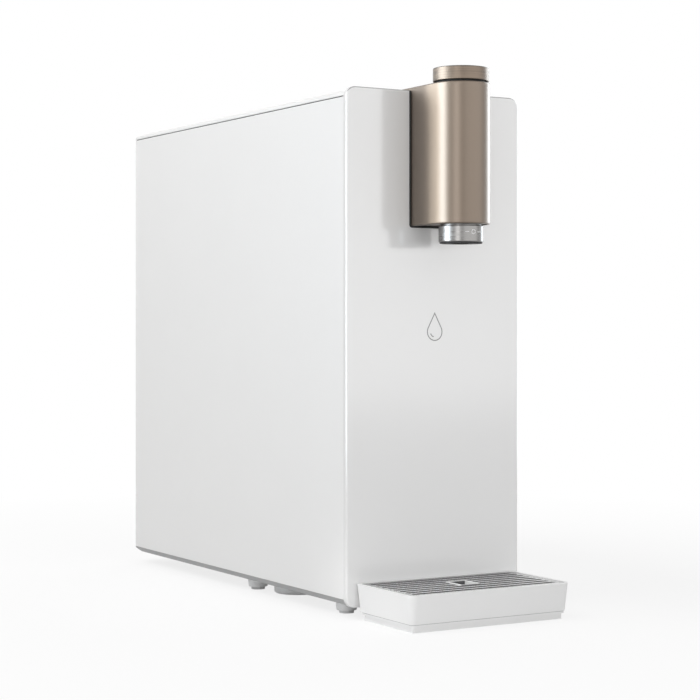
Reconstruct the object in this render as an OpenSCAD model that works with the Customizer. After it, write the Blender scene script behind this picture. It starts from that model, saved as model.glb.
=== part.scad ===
// Slim countertop water purifier: a glossy front panel carries a dial tap, a lift-off lid covers
// two twist-in filter cartridges, and a drip tray stands in front. Millimetres, +Z up, front
// towards -Y. The origin is on the counter, in the middle of the whole footprint.

/* [Case] */
// Width of the front panel
panel_w = 160; // [144:1:190]
// Height of the front panel
panel_h = 400; // [385:1:450]
// Thickness of the front panel
panel_t = 5; // [4:0.5:7]
// Radius of the front panel's corners, seen from the front
panel_r = 8; // [4:0.5:14]
// Radius along the front panel's front edge
panel_edge = 1.5; // [0.5:0.1:2.5]
// Height of the front panel's lower edge above the counter
panel_lift = 9; // [8.5:0.5:12]
// Depth from the front panel's face to the back of the case
case_d = 406; // [366:1:460]
// Step from the front panel's edge in to the side of the case
case_step = 1; // [0.5:0.1:2]
// Radius of the upright rear corners
case_r = 6; // [5:0.5:12]
// Wall of the side and back panels
wall = 2.5; // [2:0.1:3.2]
// Width of the side panels' return round each rear corner
return_w = 16; // [12:1:22]
// Depth of the front panel's clip tabs
clip_d = 9; // [6:0.5:14]
// Height of the front panel's clip tabs
clip_h = 24; // [12:1:40]
// Thickness of the front panel's clip tabs
clip_t = 2; // [1.5:0.1:3]
// Depth of the stiffening ribs inside the side panels
stiffener_d = 2; // [1.5:0.1:2.2]
// Thickness of those ribs
stiffener_t = 2; // [1.5:0.1:3]
// Height from one of those ribs to the next
stiffener_pitch = 90; // [60:5:120]

/* [Lid and filter deck] */
// Drop from the front panel's top to the lid's top
lid_drop = 2.6; // [1:0.1:5]
// Height of the lid's visible edge
lid_edge = 4.2; // [3.8:0.1:7]
// Radius along the lid's top edge
lid_round = 3.5; // [1:0.1:3.7]
// Thickness of the lid's top
lid_t = 2.2; // [1.8:0.1:2.8]
// Open seam under the lid's edge
seam = 0.8; // [0.5:0.1:1.5]
// Thickness of the lid's locating skirt
skirt_t = 1.6; // [1.2:0.1:2]
// Height of the ribs under the lid
lid_rib_h = 1.5; // [1:0.1:2]
// Thickness of those ribs
lid_rib_t = 1.6; // [1.2:0.1:2.4]
// Distance from one of those ribs to the next
lid_rib_pitch = 90; // [60:1:100]
// Clearance round the lid's skirt and at its front edge
lid_fit = 0.5; // [0.4:0.1:0.8]
// Depth of the filter deck below the top of the side panels
deck_drop = 7.4; // [6:0.1:12]
// Thickness of the filter deck
deck_t = 2; // [1.6:0.1:3]
// Width of the side panels' ledge that carries the deck
ledge_w = 4; // [3:0.5:6]
// Height of that ledge
ledge_h = 4; // [3:0.5:8]
// Height of the raised lip round each cartridge opening
lip_h = 2; // [1:0.5:3]
// Width of that lip
lip_w = 2; // [1.5:0.5:4]
// Width of the finger notch behind the lid
notch_w = 46; // [30:1:70]
// Depth of the finger notch behind the lid
notch_h = 7; // [5:0.5:10]

/* [Base and feet] */
// Height of the base's underside above the counter
foot_h = 10; // [8:0.5:14]
// Height of the base's bevelled edge
base_bevel = 5; // [4:0.5:8]
// Length of the base's curve up to the back
base_scoop = 10; // [6:0.5:16]
// Thickness of the base floor
floor_t = 3; // [2.5:0.1:4]
// Height of the base's upstand inside the side panels
upstand_h = 16; // [10:1:24]
// Thickness of that upstand
upstand_t = 2; // [1.5:0.1:3]
// Radius of the foot cups
foot_r = 9; // [7.5:0.5:11]
// Taper of the foot cups' radius
foot_taper = 1; // [0.5:0.1:1.5]
// Radius of the rubber pads
pad_r = 5.8; // [4:0.1:6.5]
// Part of the pad that shows under the cup
pad_show = 2.4; // [1.5:0.1:4]
// Depth of the pad's seat in the cup
pad_seat = 1.6; // [1:0.1:3]
// Distance of the front and middle feet from the panel's edge
foot_in = 20; // [16:1:30]
// Distance of the rear feet from the panel's edge
rear_foot_in = 46; // [30:1:60]
// Distance of the front feet behind the panel's face
front_foot_y = 34.5; // [28:0.5:44]
// Distance of the middle feet behind the panel's face
middle_foot_y = 185; // [170:1:210]
// Distance of the rear feet from the back
rear_foot_y = 46; // [30:1:70]
// Radius of the drain cap
cap_r = 20; // [16:0.5:24]
// Gap between the drain cap and the counter
cap_lift = 1; // [0.6:0.1:3]
// Place of the drain cap behind the panel's face
cap_y = 145; // [125:1:155]
// Distance of the drain cap from the panel's edge
cap_in = 37; // [32:0.5:50]
// Radius of the drain cap's plug
plug_r = 15; // [10:0.5:15]
// Chamfer round the drain cap's lower edge
cap_chamfer = 1; // [0.5:0.1:1.5]
// Length of each grip recess in the drain cap
grip_l = 20; // [14:0.5:22]
// Width of each grip recess
grip_w = 7; // [5:0.5:8]
// Depth of the grip recesses
grip_d = 5; // [3:0.5:6]
// Width of the grip bar between the recesses
grip_bar = 7; // [5:0.5:10]
// Radius of the drain cap seal's ring
seal_wire = 1.2; // [1:0.1:1.4]

/* [Tap] */
// Radius of the tap column and half width of its arm
tap_r = 22.4; // [21.5:0.1:26]
// Distance of the column's axis in front of the panel
tap_reach = 37; // [32:0.5:46]
// Height of the column
tap_h = 108.2; // [95:0.1:130]
// Height of the column's top above the front panel
tap_rise = 2.1; // [1:0.1:6]
// Length of the arm behind the panel's face
arm_back = 15; // [12:0.5:18]
// Wall of the tap shell
tap_wall = 2; // [1.6:0.1:2.6]
// Radius along the tap shell's edges
tap_edge = 1.2; // [0.6:0.1:1.5]
// Thickness of the plate that closes the column's underside
tap_plate_t = 2.5; // [2:0.1:4]
// Recess of that plate
tap_plate_in = 0.6; // [0.3:0.1:1.5]
// Thickness of the tap bracket
bracket_t = 3; // [2:0.5:4]
// Width of each of the tap bracket's legs
bracket_leg = 9; // [6:0.5:14]
// Height of the tap bracket
bracket_h = 80; // [60:1:85]
// Height of the water tube above the column's underside
feed_lift = 27; // [24:0.5:40]

/* [Outlet] */
// Radius of the outlet sleeve
sleeve_r = 17.2; // [15.5:0.1:18.5]
// Height of the sleeve below the column
sleeve_h = 13.6; // [12:0.1:20]
// Dark gap between the column and the sleeve
sleeve_gap = 0.9; // [0.5:0.1:1.6]
// Wall of the sleeve
sleeve_wall = 1.5; // [1.2:0.1:2]
// Radius along the sleeve's lower edge
sleeve_edge = 0.7; // [0.3:0.1:0.9]
// Height of the sleeve's neck inside the column
neck_h = 6; // [5:0.5:10]
// Width and height of the rims that hold the sleeve and the outlet
lip = 1; // [0.8:0.1:1.4]
// Height of the outlet's dark rim below the sleeve
rim_h = 0.9; // [0.6:0.1:1.6]
// Distance from the sleeve's wall in to that rim
rim_in = 0.8; // [0.5:0.1:2]
// Radius along that rim's edges
rim_edge = 0.2; // [0.1:0.05:0.25]
// Thickness of the outlet disc
outlet_t = 8; // [6:0.5:9]
// Radius of the water outlet
outlet_r = 4.5; // [3:0.1:5.5]
// Radius of the flare under the water outlet
flare_r = 8; // [6.5:0.5:11]
// Depth of that flare
flare_d = 4; // [2:0.5:4.5]
// Thickness of the UV lamp board
uv_t = 1.2; // [0.8:0.1:1.6]
// Side of each UV lamp
uv_lamp = 3; // [2:0.5:3.5]
// Height of each UV lamp
uv_lamp_h = 1.4; // [0.8:0.1:2]
// Number of UV lamps
uv_count = 3; // [2:1:5]

/* [Dial knob] */
// Radius of the knob
knob_r = 21.6; // [20:0.1:22]
// Height of the knob
knob_h = 10.2; // [9:0.1:14]
// Gap under the knob
knob_gap = 1.4; // [1.2:0.1:3]
// Travel of the knob when pressed
press = 1; // [0.5:0.1:1]
// Wall of the knob's metal ring
knob_wall = 1.6; // [1.2:0.1:2]
// Thickness of the knob's top
knob_top = 2; // [1.8:0.1:3]
// Radius along the knob's edges
knob_edge = 0.6; // [0.3:0.1:0.8]
// Radius of the lens set in the knob's top
lens_r = 17; // [14:0.5:18]
// Depth of the lens
lens_t = 1; // [0.6:0.1:1.2]
// Radius of the dial shaft
shaft_r = 3; // [2.5:0.1:3.5]
// Radius of the hub round the shaft
hub_r = 7.5; // [6:0.5:9]
// Thickness of the hub's disc
hub_t = 2.6; // [2:0.1:3]
// Gap between the knob's ring and the bezel inside it
bezel_gap = 0.9; // [0.6:0.1:1.5]
// Gap between the bezel and the hub
bezel_clear = 1; // [0.5:0.1:1.5]
// Radius of the encoder's bushing
bush_r = 4.6; // [4.4:0.1:5.5]
// Rise of the bushing above the column
bush_rise = 0.7; // [0.4:0.1:1]
// Side of the encoder's housing
encoder_w = 14; // [12:0.5:18]
// Height of the encoder's housing
encoder_h = 8; // [6:0.5:10]
// Height of the encoder's legs above its board
leg_h = 4.6; // [4:0.1:7]
// Width of each encoder leg
leg_w = 1.2; // [0.8:0.1:2]
// Width of the encoder board
encoder_board_w = 30; // [22:1:34]
// Depth of the encoder board
encoder_board_d = 26; // [20:1:30]
// Radius of the press plunger
plunger_r = 2.4; // [2:0.1:2.4]
// Length of the press plunger
plunger_l = 3; // [2.6:0.1:4]

/* [Drip tray] */
// Width of the tray at its rim
tray_w = 145.5; // [124:0.5:150]
// Reach of the tray in front of the panel
tray_reach = 80; // [72:0.5:100]
// Height of the tray's rim above the counter
tray_top = 28; // [25:0.5:36]
// Height of the plinth under the tray
plinth_h = 4.6; // [4.4:0.1:8]
// Gap between the tray and the front panel
tray_gap = 0.7; // [0.5:0.1:0.9]
// Lean of each of the tray's sides
tray_draft = 2.4; // [1:0.1:3]
// Radius of the tray's front corners
tray_r = 6; // [5:0.5:16]
// Radius of the tray's rear corners
tray_rear_r = 4; // [3.5:0.5:8]
// Wall of the tray at its rim
tray_wall = 2.2; // [1.8:0.1:3]
// Width of the ledge that carries the grille
grille_ledge = 3; // [2.5:0.5:5]
// Lean of each of the sides inside the tray
well_draft = 1.8; // [0.8:0.1:2.4]
// Thickness of the tray's floor
tray_floor = 2; // [1.5:0.1:3]
// Height of the step along the tray's lower edge
step_h = 1.8; // [1:0.1:2.4]
// Depth of that step
step_in = 0.6; // [0.4:0.1:1]
// Distance from the tray's lower edge in to the plinth
plinth_in = 2.5; // [2:0.5:8]
// Radius of the plinth's corners
plinth_r = 1.5; // [1:0.5:6]
// Distance of the plinth from the front panel
plinth_back = 5.5; // [5:0.5:14]
// Width of the tongue that guides the tray under the base
tongue_w = 50; // [30:1:70]
// Thickness of that tongue
tongue_t = 3.5; // [2.5:0.1:4]
// Length of the tongue behind the panel's face
tongue_l = 22; // [12:1:24]

/* [Grille] */
// Thickness of the grille
grille_t = 2.5; // [2:0.1:4]
// Depth of the grille's top below the tray's rim
grille_drop = 0.3; // [0:0.1:1]
// Clearance round the grille
grille_fit = 0.4; // [0.3:0.1:0.8]
// Plain border round the slots
grille_border = 5; // [4:0.5:8]
// Width of each slot
slot_w = 4.4; // [3:0.1:5.5]
// Distance from one slot to the next
slot_pitch = 8.4; // [7:0.1:11]
// Radius of the grille's corners
grille_r = 3; // [2:0.5:3.5]
// Width of the ribs under the grille bars
rib_w = 2; // [1.5:0.1:3]
// Height of those ribs
rib_h = 1.2; // [0.8:0.1:1.5]
// Distance of the ribs from the middle
rib_x = 36; // [28:1:48]
// Width of the drain hole inside the collar
hole_w = 14.5; // [12:0.5:22]
// Depth, front to back, of the drain hole
hole_d = 17.5; // [14:0.5:24]
// Wall of the collar
collar_t = 1.2; // [1:0.1:2.4]
// Width of the collar's flange on the grille
flange_w = 0.6; // [0.5:0.1:1.2]
// Width of the plain frame round the collar
frame_w = 1.4; // [1.2:0.1:3]
// Thickness of that flange
flange_t = 0.6; // [0.4:0.1:1]
// Depth of the collar below the grille's top
collar_h = 10; // [6:0.5:12]

/* [Filters] */
// Radius of each cartridge
cart_r = 45; // [40:0.5:45]
// Gap round each cartridge
cart_gap = 4; // [3:0.5:6]
// Clearance of a cartridge cap in the deck
cart_fit = 1.5; // [1:0.1:2.5]
// Height of each cartridge's cap
cart_cap_h = 24; // [16:1:40]
// Rise of the cap above the deck
cart_rise = 1; // [0.5:0.5:3]
// Length of the grip bar on a cap
bar_l = 62; // [40:1:74]
// Width of that grip bar
bar_w = 12; // [8:0.5:18]
// Rise of that grip bar above the cap
bar_h = 5.5; // [4:0.5:6]
// Depth of the dish round the grip bar
dish_d = 9; // [4:0.5:12]
// Width of the rim round the dish
dish_rim = 6; // [4:0.5:10]
// Number of grip flutes round a cap
flute_count = 24; // [12:1:36]
// Radius of each grip flute
flute_r = 1.5; // [1:0.1:2]
// Height of the grip flutes
flute_h = 18; // [8:1:20]
// Height of the cone at the cartridge's lower end
cone_h = 14; // [8:1:24]
// Radius of the cartridge's shoulder
shoulder_r = 22; // [19:0.5:30]
// Radius of the cartridge's spigot
spigot_r = 14; // [12:0.5:15]
// Length of the cartridge's spigot
spigot_l = 20; // [18:0.5:24]
// Radial gap between spigot and socket
spigot_fit = 1.2; // [1:0.1:1.4]
// Radius of the spigot seals' ring
o_ring = 1.2; // [1:0.1:1.3]
// Distance of the first seal from the spigot's end and between the seals
o_ring_pitch = 6; // [4:0.5:7]
// Wall of each socket
socket_wall = 4.8; // [3:0.1:6]
// Height of each socket
socket_h = 18; // [14:0.5:26]
// Width of the manifold
manifold_w = 132; // [130:1:140]
// Height of the manifold
manifold_h = 20; // [16:0.5:24]
// Length of the manifold in front of the first cartridge's axis and behind the second one's
manifold_nose = 32; // [28:1:40]
// Length of the manifold's tail behind the valves' front
manifold_tail = 36; // [32:1:38]
// Depth of the raised block that carries the valves
riser_d = 20; // [14:1:24]

/* [Heater and boards] */
// Depth of the front bay, from the panel's face to the chassis plate
bay_d = 98; // [96:1:104]
// Thickness of the chassis plate
plate_t = 2; // [1.5:0.1:3]
// Depth of the chassis plate's folded sides
plate_fold = 10; // [6:0.5:14]
// Radius of the heater
heater_r = 24; // [18:0.5:26]
// Length of the heater
heater_h = 180; // [120:1:190]
// Height of the heater above the base floor
heater_lift = 48; // [44:1:60]
// Gap between the heater and the chassis plate
heater_gap = 8; // [5:0.5:10]
// Radius of the heater's end spigots
stub_r = 6; // [5:0.1:8]
// Height of the heater's end spigots
stub_h = 8; // [5:0.5:12]
// Radius of the heater's end flanges
end_r = 27; // [26.5:0.5:30]
// Thickness of the heater's end flanges
end_t = 6; // [4:0.5:10]
// Wall of the heater's clamps
clamp_t = 2; // [1.5:0.1:3]
// Height of the heater's clamps
clamp_h = 14; // [8:1:20]
// Distance of each clamp from the heater's end
clamp_in = 32; // [20:1:50]
// Width of the clamps' feet
clamp_foot = 20; // [12:1:28]
// Width of the control board
board_w = 36; // [26:1:40]
// Height of the control board
board_h = 150; // [100:1:170]
// Height of the control board above the base floor
board_lift = 130; // [100:1:160]
// Length of the board's spacers
spacer_l = 6; // [4:0.5:10]
// Radius of the board's spacers
spacer_r = 3; // [2.5:0.1:4]
// Thickness of the circuit boards
board_t = 1.6; // [1.2:0.1:2]
// Height of the relays on the control board
relay_h = 14; // [8:0.5:18]
// Height of the low parts between the relays
chip_h = 7; // [3:0.5:10]
// Width of the parts on the control board
relay_w = 18; // [10:0.5:20]
// Length of the parts on the control board
relay_l = 19; // [12:0.5:24]
// Distance from one part to the next on the control board
relay_pitch = 30; // [26:1:40]
// Width of the power supply
psu_w = 58; // [44:1:60]
// Depth of the power supply
psu_d = 38; // [28:1:44]
// Height of the power supply
psu_h = 120; // [90:1:150]
// Height of the power supply above the rear pocket
psu_lift = 12; // [8:1:30]
// Plain border round the power supply's grooves
psu_edge = 9; // [5:0.5:14]
// Width and depth of those grooves
psu_groove = 2; // [1:0.1:3]
// Distance from one of those grooves to the next
psu_pitch = 8; // [6:0.5:14]

/* [Pump and water lines] */
// Side of the pump's square foot plate
pump_plate = 60; // [58:1:66]
// Radius of the pump's motor
motor_r = 27; // [24:0.5:29]
// Length of the pump's motor
motor_l = 90; // [70:1:120]
// Step from the motor's end bands in to its can
motor_step = 1.5; // [0.5:0.1:3]
// Height of the motor's end bands
motor_band = 14; // [8:1:24]
// Radius of the bearing boss on the motor
boss_r = 9; // [6:0.5:14]
// Height of that boss
boss_h = 4; // [2:0.5:8]
// Side of the pump's head
head_w = 54; // [50:1:60]
// Radius of the pump head's corners
head_r = 12; // [6:0.5:18]
// Height of the pump's head
head_h = 46; // [36:1:60]
// Thickness of the pump head's end plates
head_plate_t = 12; // [10:0.5:15]
// Step from those plates in to the head's middle
head_step = 4; // [2:0.5:5]
// Thickness of the pump's foot plate
pump_plate_t = 2; // [1.5:0.1:3]
// Radius of the rubber grommets
grommet_r = 6; // [5:0.5:8]
// Distance of the grommets from the foot plate's edge
grommet_in = 1; // [0.5:0.5:3]
// Height of the rubber grommets
grommet_h = 6; // [4:0.5:10]
// Gap between the pump and the back panel
pump_gap = 6; // [4:0.5:8]
// Gap between the pump and the base's upstand
side_gap = 3; // [2:0.5:4]
// Radius of the tubes
tube_r = 4; // [3.5:0.1:4.2]
// Clearance round a tube that passes a plate
tube_clear = 1; // [0.5:0.1:2]
// Depth of a tube's seat at the outlet
tube_seat = 4; // [3:0.5:6]
// Radius of the tubes' bore
tube_bore = 2.6; // [2:0.1:2.9]
// Radius of the tubes' bends
bend_r = 12; // [9:0.5:13]
// Distance between the pump's two tubes
pump_tube_pitch = 24; // [16:1:36]
// Radius of the flow sensor
sensor_r = 9; // [8:0.5:10]
// Length of the flow sensor
sensor_l = 13; // [10:0.5:14]
// Width of the valve bodies
valve_w = 22; // [20:0.5:26]
// Length of the valve bodies
valve_l = 30; // [24:0.5:32]
// Radius of the valve coils
coil_r = 10; // [8:0.5:12]
// Height of the valve coils
coil_h = 32; // [24:0.5:40]
// Thickness of the yoke round each coil
yoke_t = 2; // [1.5:0.1:2.5]

/* [Rear entries] */
// Width of the rear pocket
pocket_w = 58; // [56:1:64]
// Height of the rear pocket
pocket_h = 84; // [76:1:100]
// Depth of the rear pocket
pocket_d = 24; // [22:0.5:26]
// Height of the pocket's lower edge above the base's upstand
pocket_lift = 2; // [1:0.5:8]
// Recess of the back panel's face from the rear corners
back_in = 0.6; // [0.3:0.1:1.2]
// Thickness of the back panel's inner flange
back_flange = 2; // [1.5:0.1:3]
// Height of the water fittings above the pocket's lower edge
port_z = 22; // [18:0.5:26]
// Height of the cord gland above the pocket's lower edge
gland_z = 64; // [58:0.5:66]
// Distance between the two water fittings
port_pitch = 28; // [26:0.5:30]
// Radius of a fitting's body
port_r = 8; // [7.5:0.1:9]
// Radius of the fittings' collars
nut_r = 11; // [10:0.1:12]
// Thickness of the fittings' collars
nut_t = 4; // [3:0.1:6]
// Radius of the bore that takes the water tube
port_bore = 3.25; // [3:0.05:3.6]
// Depth of the tube's seat in the fitting
port_depth = 15; // [10:0.5:16]
// Length of the fittings behind the pocket
port_stub = 12.5; // [10:0.5:14]
// Recess of the fittings' mouths from the back
mouth_in = 5; // [4.8:0.1:7]
// Radius of the collet's sleeve
collet_r = 5.4; // [5:0.1:6]
// Radius of the collet's rim
collet_rim_r = 7; // [6.6:0.1:9]
// Length of the collet inside the fitting
collet_l = 7; // [5:0.5:8]
// Thickness of the collet's rim
collet_rim_t = 1.5; // [1:0.1:2]
// Travel of the collet when pressed
collet_travel = 1.5; // [0.5:0.1:1.6]
// Radius of the cord gland's body
gland_r = 7.4; // [6.5:0.1:9]
// Radius of the cord gland's collar
gland_nut_r = 10; // [9.5:0.1:12]
// Radius of the gland's bore
gland_bore = 3.8; // [3:0.1:4.5]
// Length of the gland in the pocket
gland_out = 14; // [8:0.5:18]
// Length of the gland behind the pocket
gland_stub = 10; // [6:0.5:14]
// Length of the vent slots
vent_l = 40; // [24:1:52]
// Width of the vent slots
vent_w = 3; // [2:0.1:5]
// Distance between vent slots
vent_pitch = 9; // [7:0.5:14]
// Number of vent slots in a column
vent_count = 10; // [3:1:11]
// Height of the vents' top below the top of the side panels
vent_drop = 40; // [30:1:60]

/* [Clearances] */
// Gap between fixed pieces
fit = 0.3; // [0.2:0.05:0.4]
// Radial clearance of turning and sliding pieces
run = 0.1; // [0.05:0.01:0.2]
// Clearance round the tap's arm in the panel
tap_fit = 0.3; // [0.2:0.05:0.6]
// Clearance round the tap's arm in the lid
lid_notch_fit = 0.8; // [0.5:0.1:1.5]

/* [Hidden] */
$fn = 64;
// Overshoot of cutting shapes
cut = 1;
// Least radius of an inner corner
least_r = 0.5;
// Case planes
total_d = tray_reach + case_d;
y_face = tray_reach - total_d / 2;
y_body = y_face + panel_t;
y_back = total_d / 2;
body_w = panel_w - 2 * case_step;
in_w = body_w - 2 * wall;
pan_w = in_w - 2 * (fit + upstand_t);
back_w = body_w - 2 * (return_w + fit);
y_flange = y_back - wall - fit - back_flange;
z_top = panel_lift + panel_h;
z_lid = z_top - lid_drop;
z_rim = z_lid - lid_edge;
z_seam = z_rim - seam;
z_deck = z_seam - deck_drop;
z_side = foot_h + base_bevel;
z_floor = foot_h + floor_t;
// Tap planes
tap_z1 = z_top + tap_rise;
tap_z0 = tap_z1 - tap_h;
y_tap = y_face - tap_reach;
y_arm = y_face + arm_back;
sleeve_z1 = tap_z0 - sleeve_gap;
sleeve_z0 = tap_z0 - sleeve_h;
plate_z0 = tap_z0 + tap_plate_in;
plate_z1 = plate_z0 + tap_plate_t;
rim_z0 = sleeve_z0 - rim_h;
rim_z1 = sleeve_z0 - run;
outlet_z0 = sleeve_z0 + lip;
outlet_z1 = outlet_z0 + outlet_t;
neck_r = sleeve_r - sleeve_wall;
// Knob planes
knob_z0 = tap_z1 + knob_gap;
knob_z1 = knob_z0 + knob_h;
bezel_r = knob_r - knob_wall - bezel_gap;
bezel_z1 = knob_z0 + press;
hub_z1 = knob_z1 - knob_top;
hub_z0 = hub_z1 - hub_t;
bush_z1 = tap_z1 + bush_rise;
encoder_z1 = tap_z1 - tap_wall;
encoder_z0 = encoder_z1 - encoder_h;
board_z1 = encoder_z0 - leg_h;
plunger_z0 = board_z1 + press + fit;
plunger_z1 = plunger_z0 + plunger_l;
// Tray planes
tray_h = tray_top - plinth_h;
tray_d = tray_reach - tray_gap;
y_tray = y_face - tray_gap - tray_d / 2;
grille_z1 = tray_top - grille_drop;
grille_z0 = grille_z1 - grille_t;
recess_w = tray_w - 2 * tray_wall;
recess_d = tray_d - 2 * tray_wall;
grille_w = recess_w - 2 * grille_fit;
grille_d = recess_d - 2 * grille_fit;
collar_w = hole_w + 2 * collar_t;
collar_d = hole_d + 2 * collar_t;
// Filter bay planes
y_chassis = y_face + bay_d;
y_ro = y_chassis + plate_t + cart_gap + cart_r;
y_carbon = y_ro + 2 * cart_r + cart_gap;
y_nose = y_ro - manifold_nose;
y_main = y_carbon + manifold_nose;
z_manifold = z_floor + manifold_h;
z_socket = z_manifold + socket_h;
z_line = z_floor + manifold_h / 2;
cart_z0 = z_socket + fit;
cart_z1 = z_deck + cart_rise;
cart_zc = cart_z1 - cart_cap_h;
socket_r = spigot_r + spigot_fit;
// Heater planes
y_heater = y_chassis - heater_gap - heater_r;
heater_z0 = z_floor + heater_lift;
heater_z1 = heater_z0 + heater_h;
feed_z = tap_z0 + feed_lift;
board_x = in_w / 2 - 2 * ledge_w - board_w / 2;
board_z0 = z_floor + board_lift;
// Rear bay planes
pump_x = -(pan_w / 2 - side_gap - pump_plate / 2);
pump_y = y_flange - pump_gap - pump_plate / 2;
plate_z = z_floor + grommet_h;
head_z0 = plate_z + pump_plate_t;
motor_z0 = head_z0 + head_h;
pump_line = z_manifold - tube_r - tube_clear;
pocket_x = (back_w - pocket_w) / 2;
pocket_z0 = z_side + upstand_h + pocket_lift;
pocket_z1 = pocket_z0 + pocket_h;
y_pocket = y_back - pocket_d;
port_zc = pocket_z0 + port_z;
gland_zc = pocket_z0 + gland_z;
y_stub = y_pocket - wall - port_stub;
y_valve = y_stub - valve_l;
y_fall = y_valve - bend_r - tube_clear;
y_tail = y_valve + manifold_tail;
y_mouth = y_back - mouth_in;
collet_bore = collet_r + run;
collet_seat = collet_l + collet_travel + fit;

// Shared shapes

// Right half of a plate's section, its outer top edge rounded
module edge_half(reach, t, edge) {
  square([reach, t - edge]);
  square([reach - edge, t]);
  translate([reach - edge, t - edge]) intersection() {
    circle(edge);
    square(edge);
  }
}

// Whole section of a plate, both top edges rounded
module edge_section(w, t, edge) {
  edge_half(w / 2, t, edge);
  mirror([1, 0]) edge_half(w / 2, t, edge);
}

// Extrudes a section drawn in X and Z along Y, about the middle
module along_y(length) {
  rotate([90, 0, 0]) linear_extrude(length, center = true) children();
}

// Extrudes a section drawn in Y and Z along X, about the middle
module along_x(length) {
  rotate([90, 0, 90]) linear_extrude(length, center = true) children();
}

// Turns a corner section at the four corners of a rectangle
module corner_turns(w, d, corner) {
  for (quarter = [0:3])
    translate([
      (quarter == 0 || quarter == 3 ? 1 : -1) * (w / 2 - corner),
      (quarter < 2 ? 1 : -1) * (d / 2 - corner),
      0
    ])
      rotate(90 * quarter) rotate_extrude(angle = 90) children();
}

// Flat plate with round corners and a rounded top edge
module pillow_plate(w, d, t, corner, edge) {
  along_y(d - 2 * corner) edge_section(w, t, edge);
  along_x(w - 2 * corner) edge_section(d, t, edge);
  corner_turns(w, d, corner) edge_half(corner, t, edge);
}

// Section of a block whose sides lean in towards its lower face
module lean_section(w, h, lean) {
  polygon([[-w / 2 + lean, 0], [w / 2 - lean, 0], [w / 2, h], [-w / 2, h]]);
}

// Block with round corners whose sides lean in towards its lower face
module lean_block(w, d, h, corner, lean) {
  along_y(d - 2 * corner) lean_section(w, h, lean);
  along_x(w - 2 * corner) lean_section(d, h, lean);
  corner_turns(w, d, corner)
    polygon([[0, 0], [corner - lean, 0], [corner, h], [0, h]]);
}

// Rectangle with round corners
module round_rect(w, d, corner) {
  square([w - 2 * corner, d], center = true);
  square([w, d - 2 * corner], center = true);
  for (sx = [-1, 1], sy = [-1, 1])
    translate([sx * (w / 2 - corner), sy * (d / 2 - corner)]) circle(corner);
}

// Slot with round ends, along X
module round_slot(length, w) {
  square([length - w, w], center = true);
  for (s = [-1, 1]) translate([s * (length - w) / 2, 0]) circle(w / 2);
}

// Plan of the case, set in by a wall, from a front line to the back
module case_plan(inset, front) {
  half = body_w / 2 - inset;
  back = y_back - inset;
  corner = max(case_r - inset, least_r);
  translate([-half, front]) square([2 * half, back - corner - front]);
  translate([-half + corner, front]) square([2 * (half - corner), back - front]);
  for (s = [-1, 1]) translate([s * (half - corner), back - corner]) circle(corner);
}

// Sweeps the right half of a section round the tap's plan: straight sides and a round front
module tap_sweep(back) {
  translate([0, y_tap, 0]) {
    rotate(180) rotate_extrude(angle = 180) children();
    translate([0, (back - y_tap) / 2, 0]) along_y(back - y_tap) {
      children();
      mirror([1, 0]) children();
    }
  }
}

// Right half of a section from z0 to z1 with both outer edges rounded
module tap_half(r, z0, z1, edge) {
  translate([0, z0 + edge]) square([r, z1 - z0 - 2 * edge]);
  translate([0, z0]) square([r - edge, z1 - z0]);
  for (z = [z0 + edge, z1 - edge])
    translate([r - edge, z]) intersection() {
      circle(edge);
      translate([edge - r, -edge]) square([r, 2 * edge]);
    }
}

// Round bar of radius r along a square-cornered line of [y, z] points, with round bends
module line_bar(points, r, over) {
  last = len(points) - 1;
  function unit(v) = v / norm(v);
  rotate([90, 0, 90]) {
    for (i = [0:last - 1]) {
      dir = unit(points[i + 1] - points[i]);
      start = points[i] + dir * (i == 0 ? -over : bend_r);
      stop = points[i + 1] - dir * (i == last - 1 ? -over : bend_r);
      translate([start[0], start[1], 0])
        rotate([0, 0, atan2(dir[1], dir[0])])
          rotate([0, 90, 0]) cylinder(r = r, h = norm(stop - start));
    }
    if (last > 1)
      for (i = [1:last - 1]) {
        come = unit(points[i] - points[i - 1]);
        go = unit(points[i + 1] - points[i]);
        turn = come[0] * go[1] - come[1] * go[0];
        middle = points[i] + (go - come) * bend_r;
        first = turn > 0 ? -go : come;
        translate([middle[0], middle[1], 0])
          rotate(atan2(first[1], first[0]))
            rotate_extrude(angle = 90) translate([bend_r, 0]) circle(r);
      }
  }
}

// Water tube along a line of [y, z] points
module tube(points) {
  difference() {
    line_bar(points, tube_r, 0);
    line_bar(points, tube_bore, cut);
  }
}

// Cylinder along +Y from y0 to y1
module pin_y(r, y0, y1) {
  translate([0, y0, 0]) rotate([-90, 0, 0]) cylinder(r = r, h = y1 - y0);
}

// Case

module front_panel() {
  clip_x = in_w / 2 - fit - clip_t;
  clip_zs = [
    z_side + upstand_h + clip_h,
    (z_side + z_seam) / 2,
    z_deck - deck_t - ledge_h - 2 * clip_h
  ];
  color("whitesmoke") difference() {
    union() {
      translate([0, y_body, panel_lift + panel_h / 2]) rotate([90, 0, 0])
        pillow_plate(panel_w, panel_h, panel_t, panel_r, panel_edge);
      for (s = [0, 1], z = clip_zs)
        mirror([s, 0, 0]) translate([clip_x, y_body - cut, z])
          cube([clip_t, clip_d + cut, clip_h]);
    }
    translate([-tap_r - tap_fit, y_face - cut, tap_z0 - tap_fit])
      cube([2 * (tap_r + tap_fit), panel_t + 2 * cut, panel_h]);
  }
}

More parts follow.
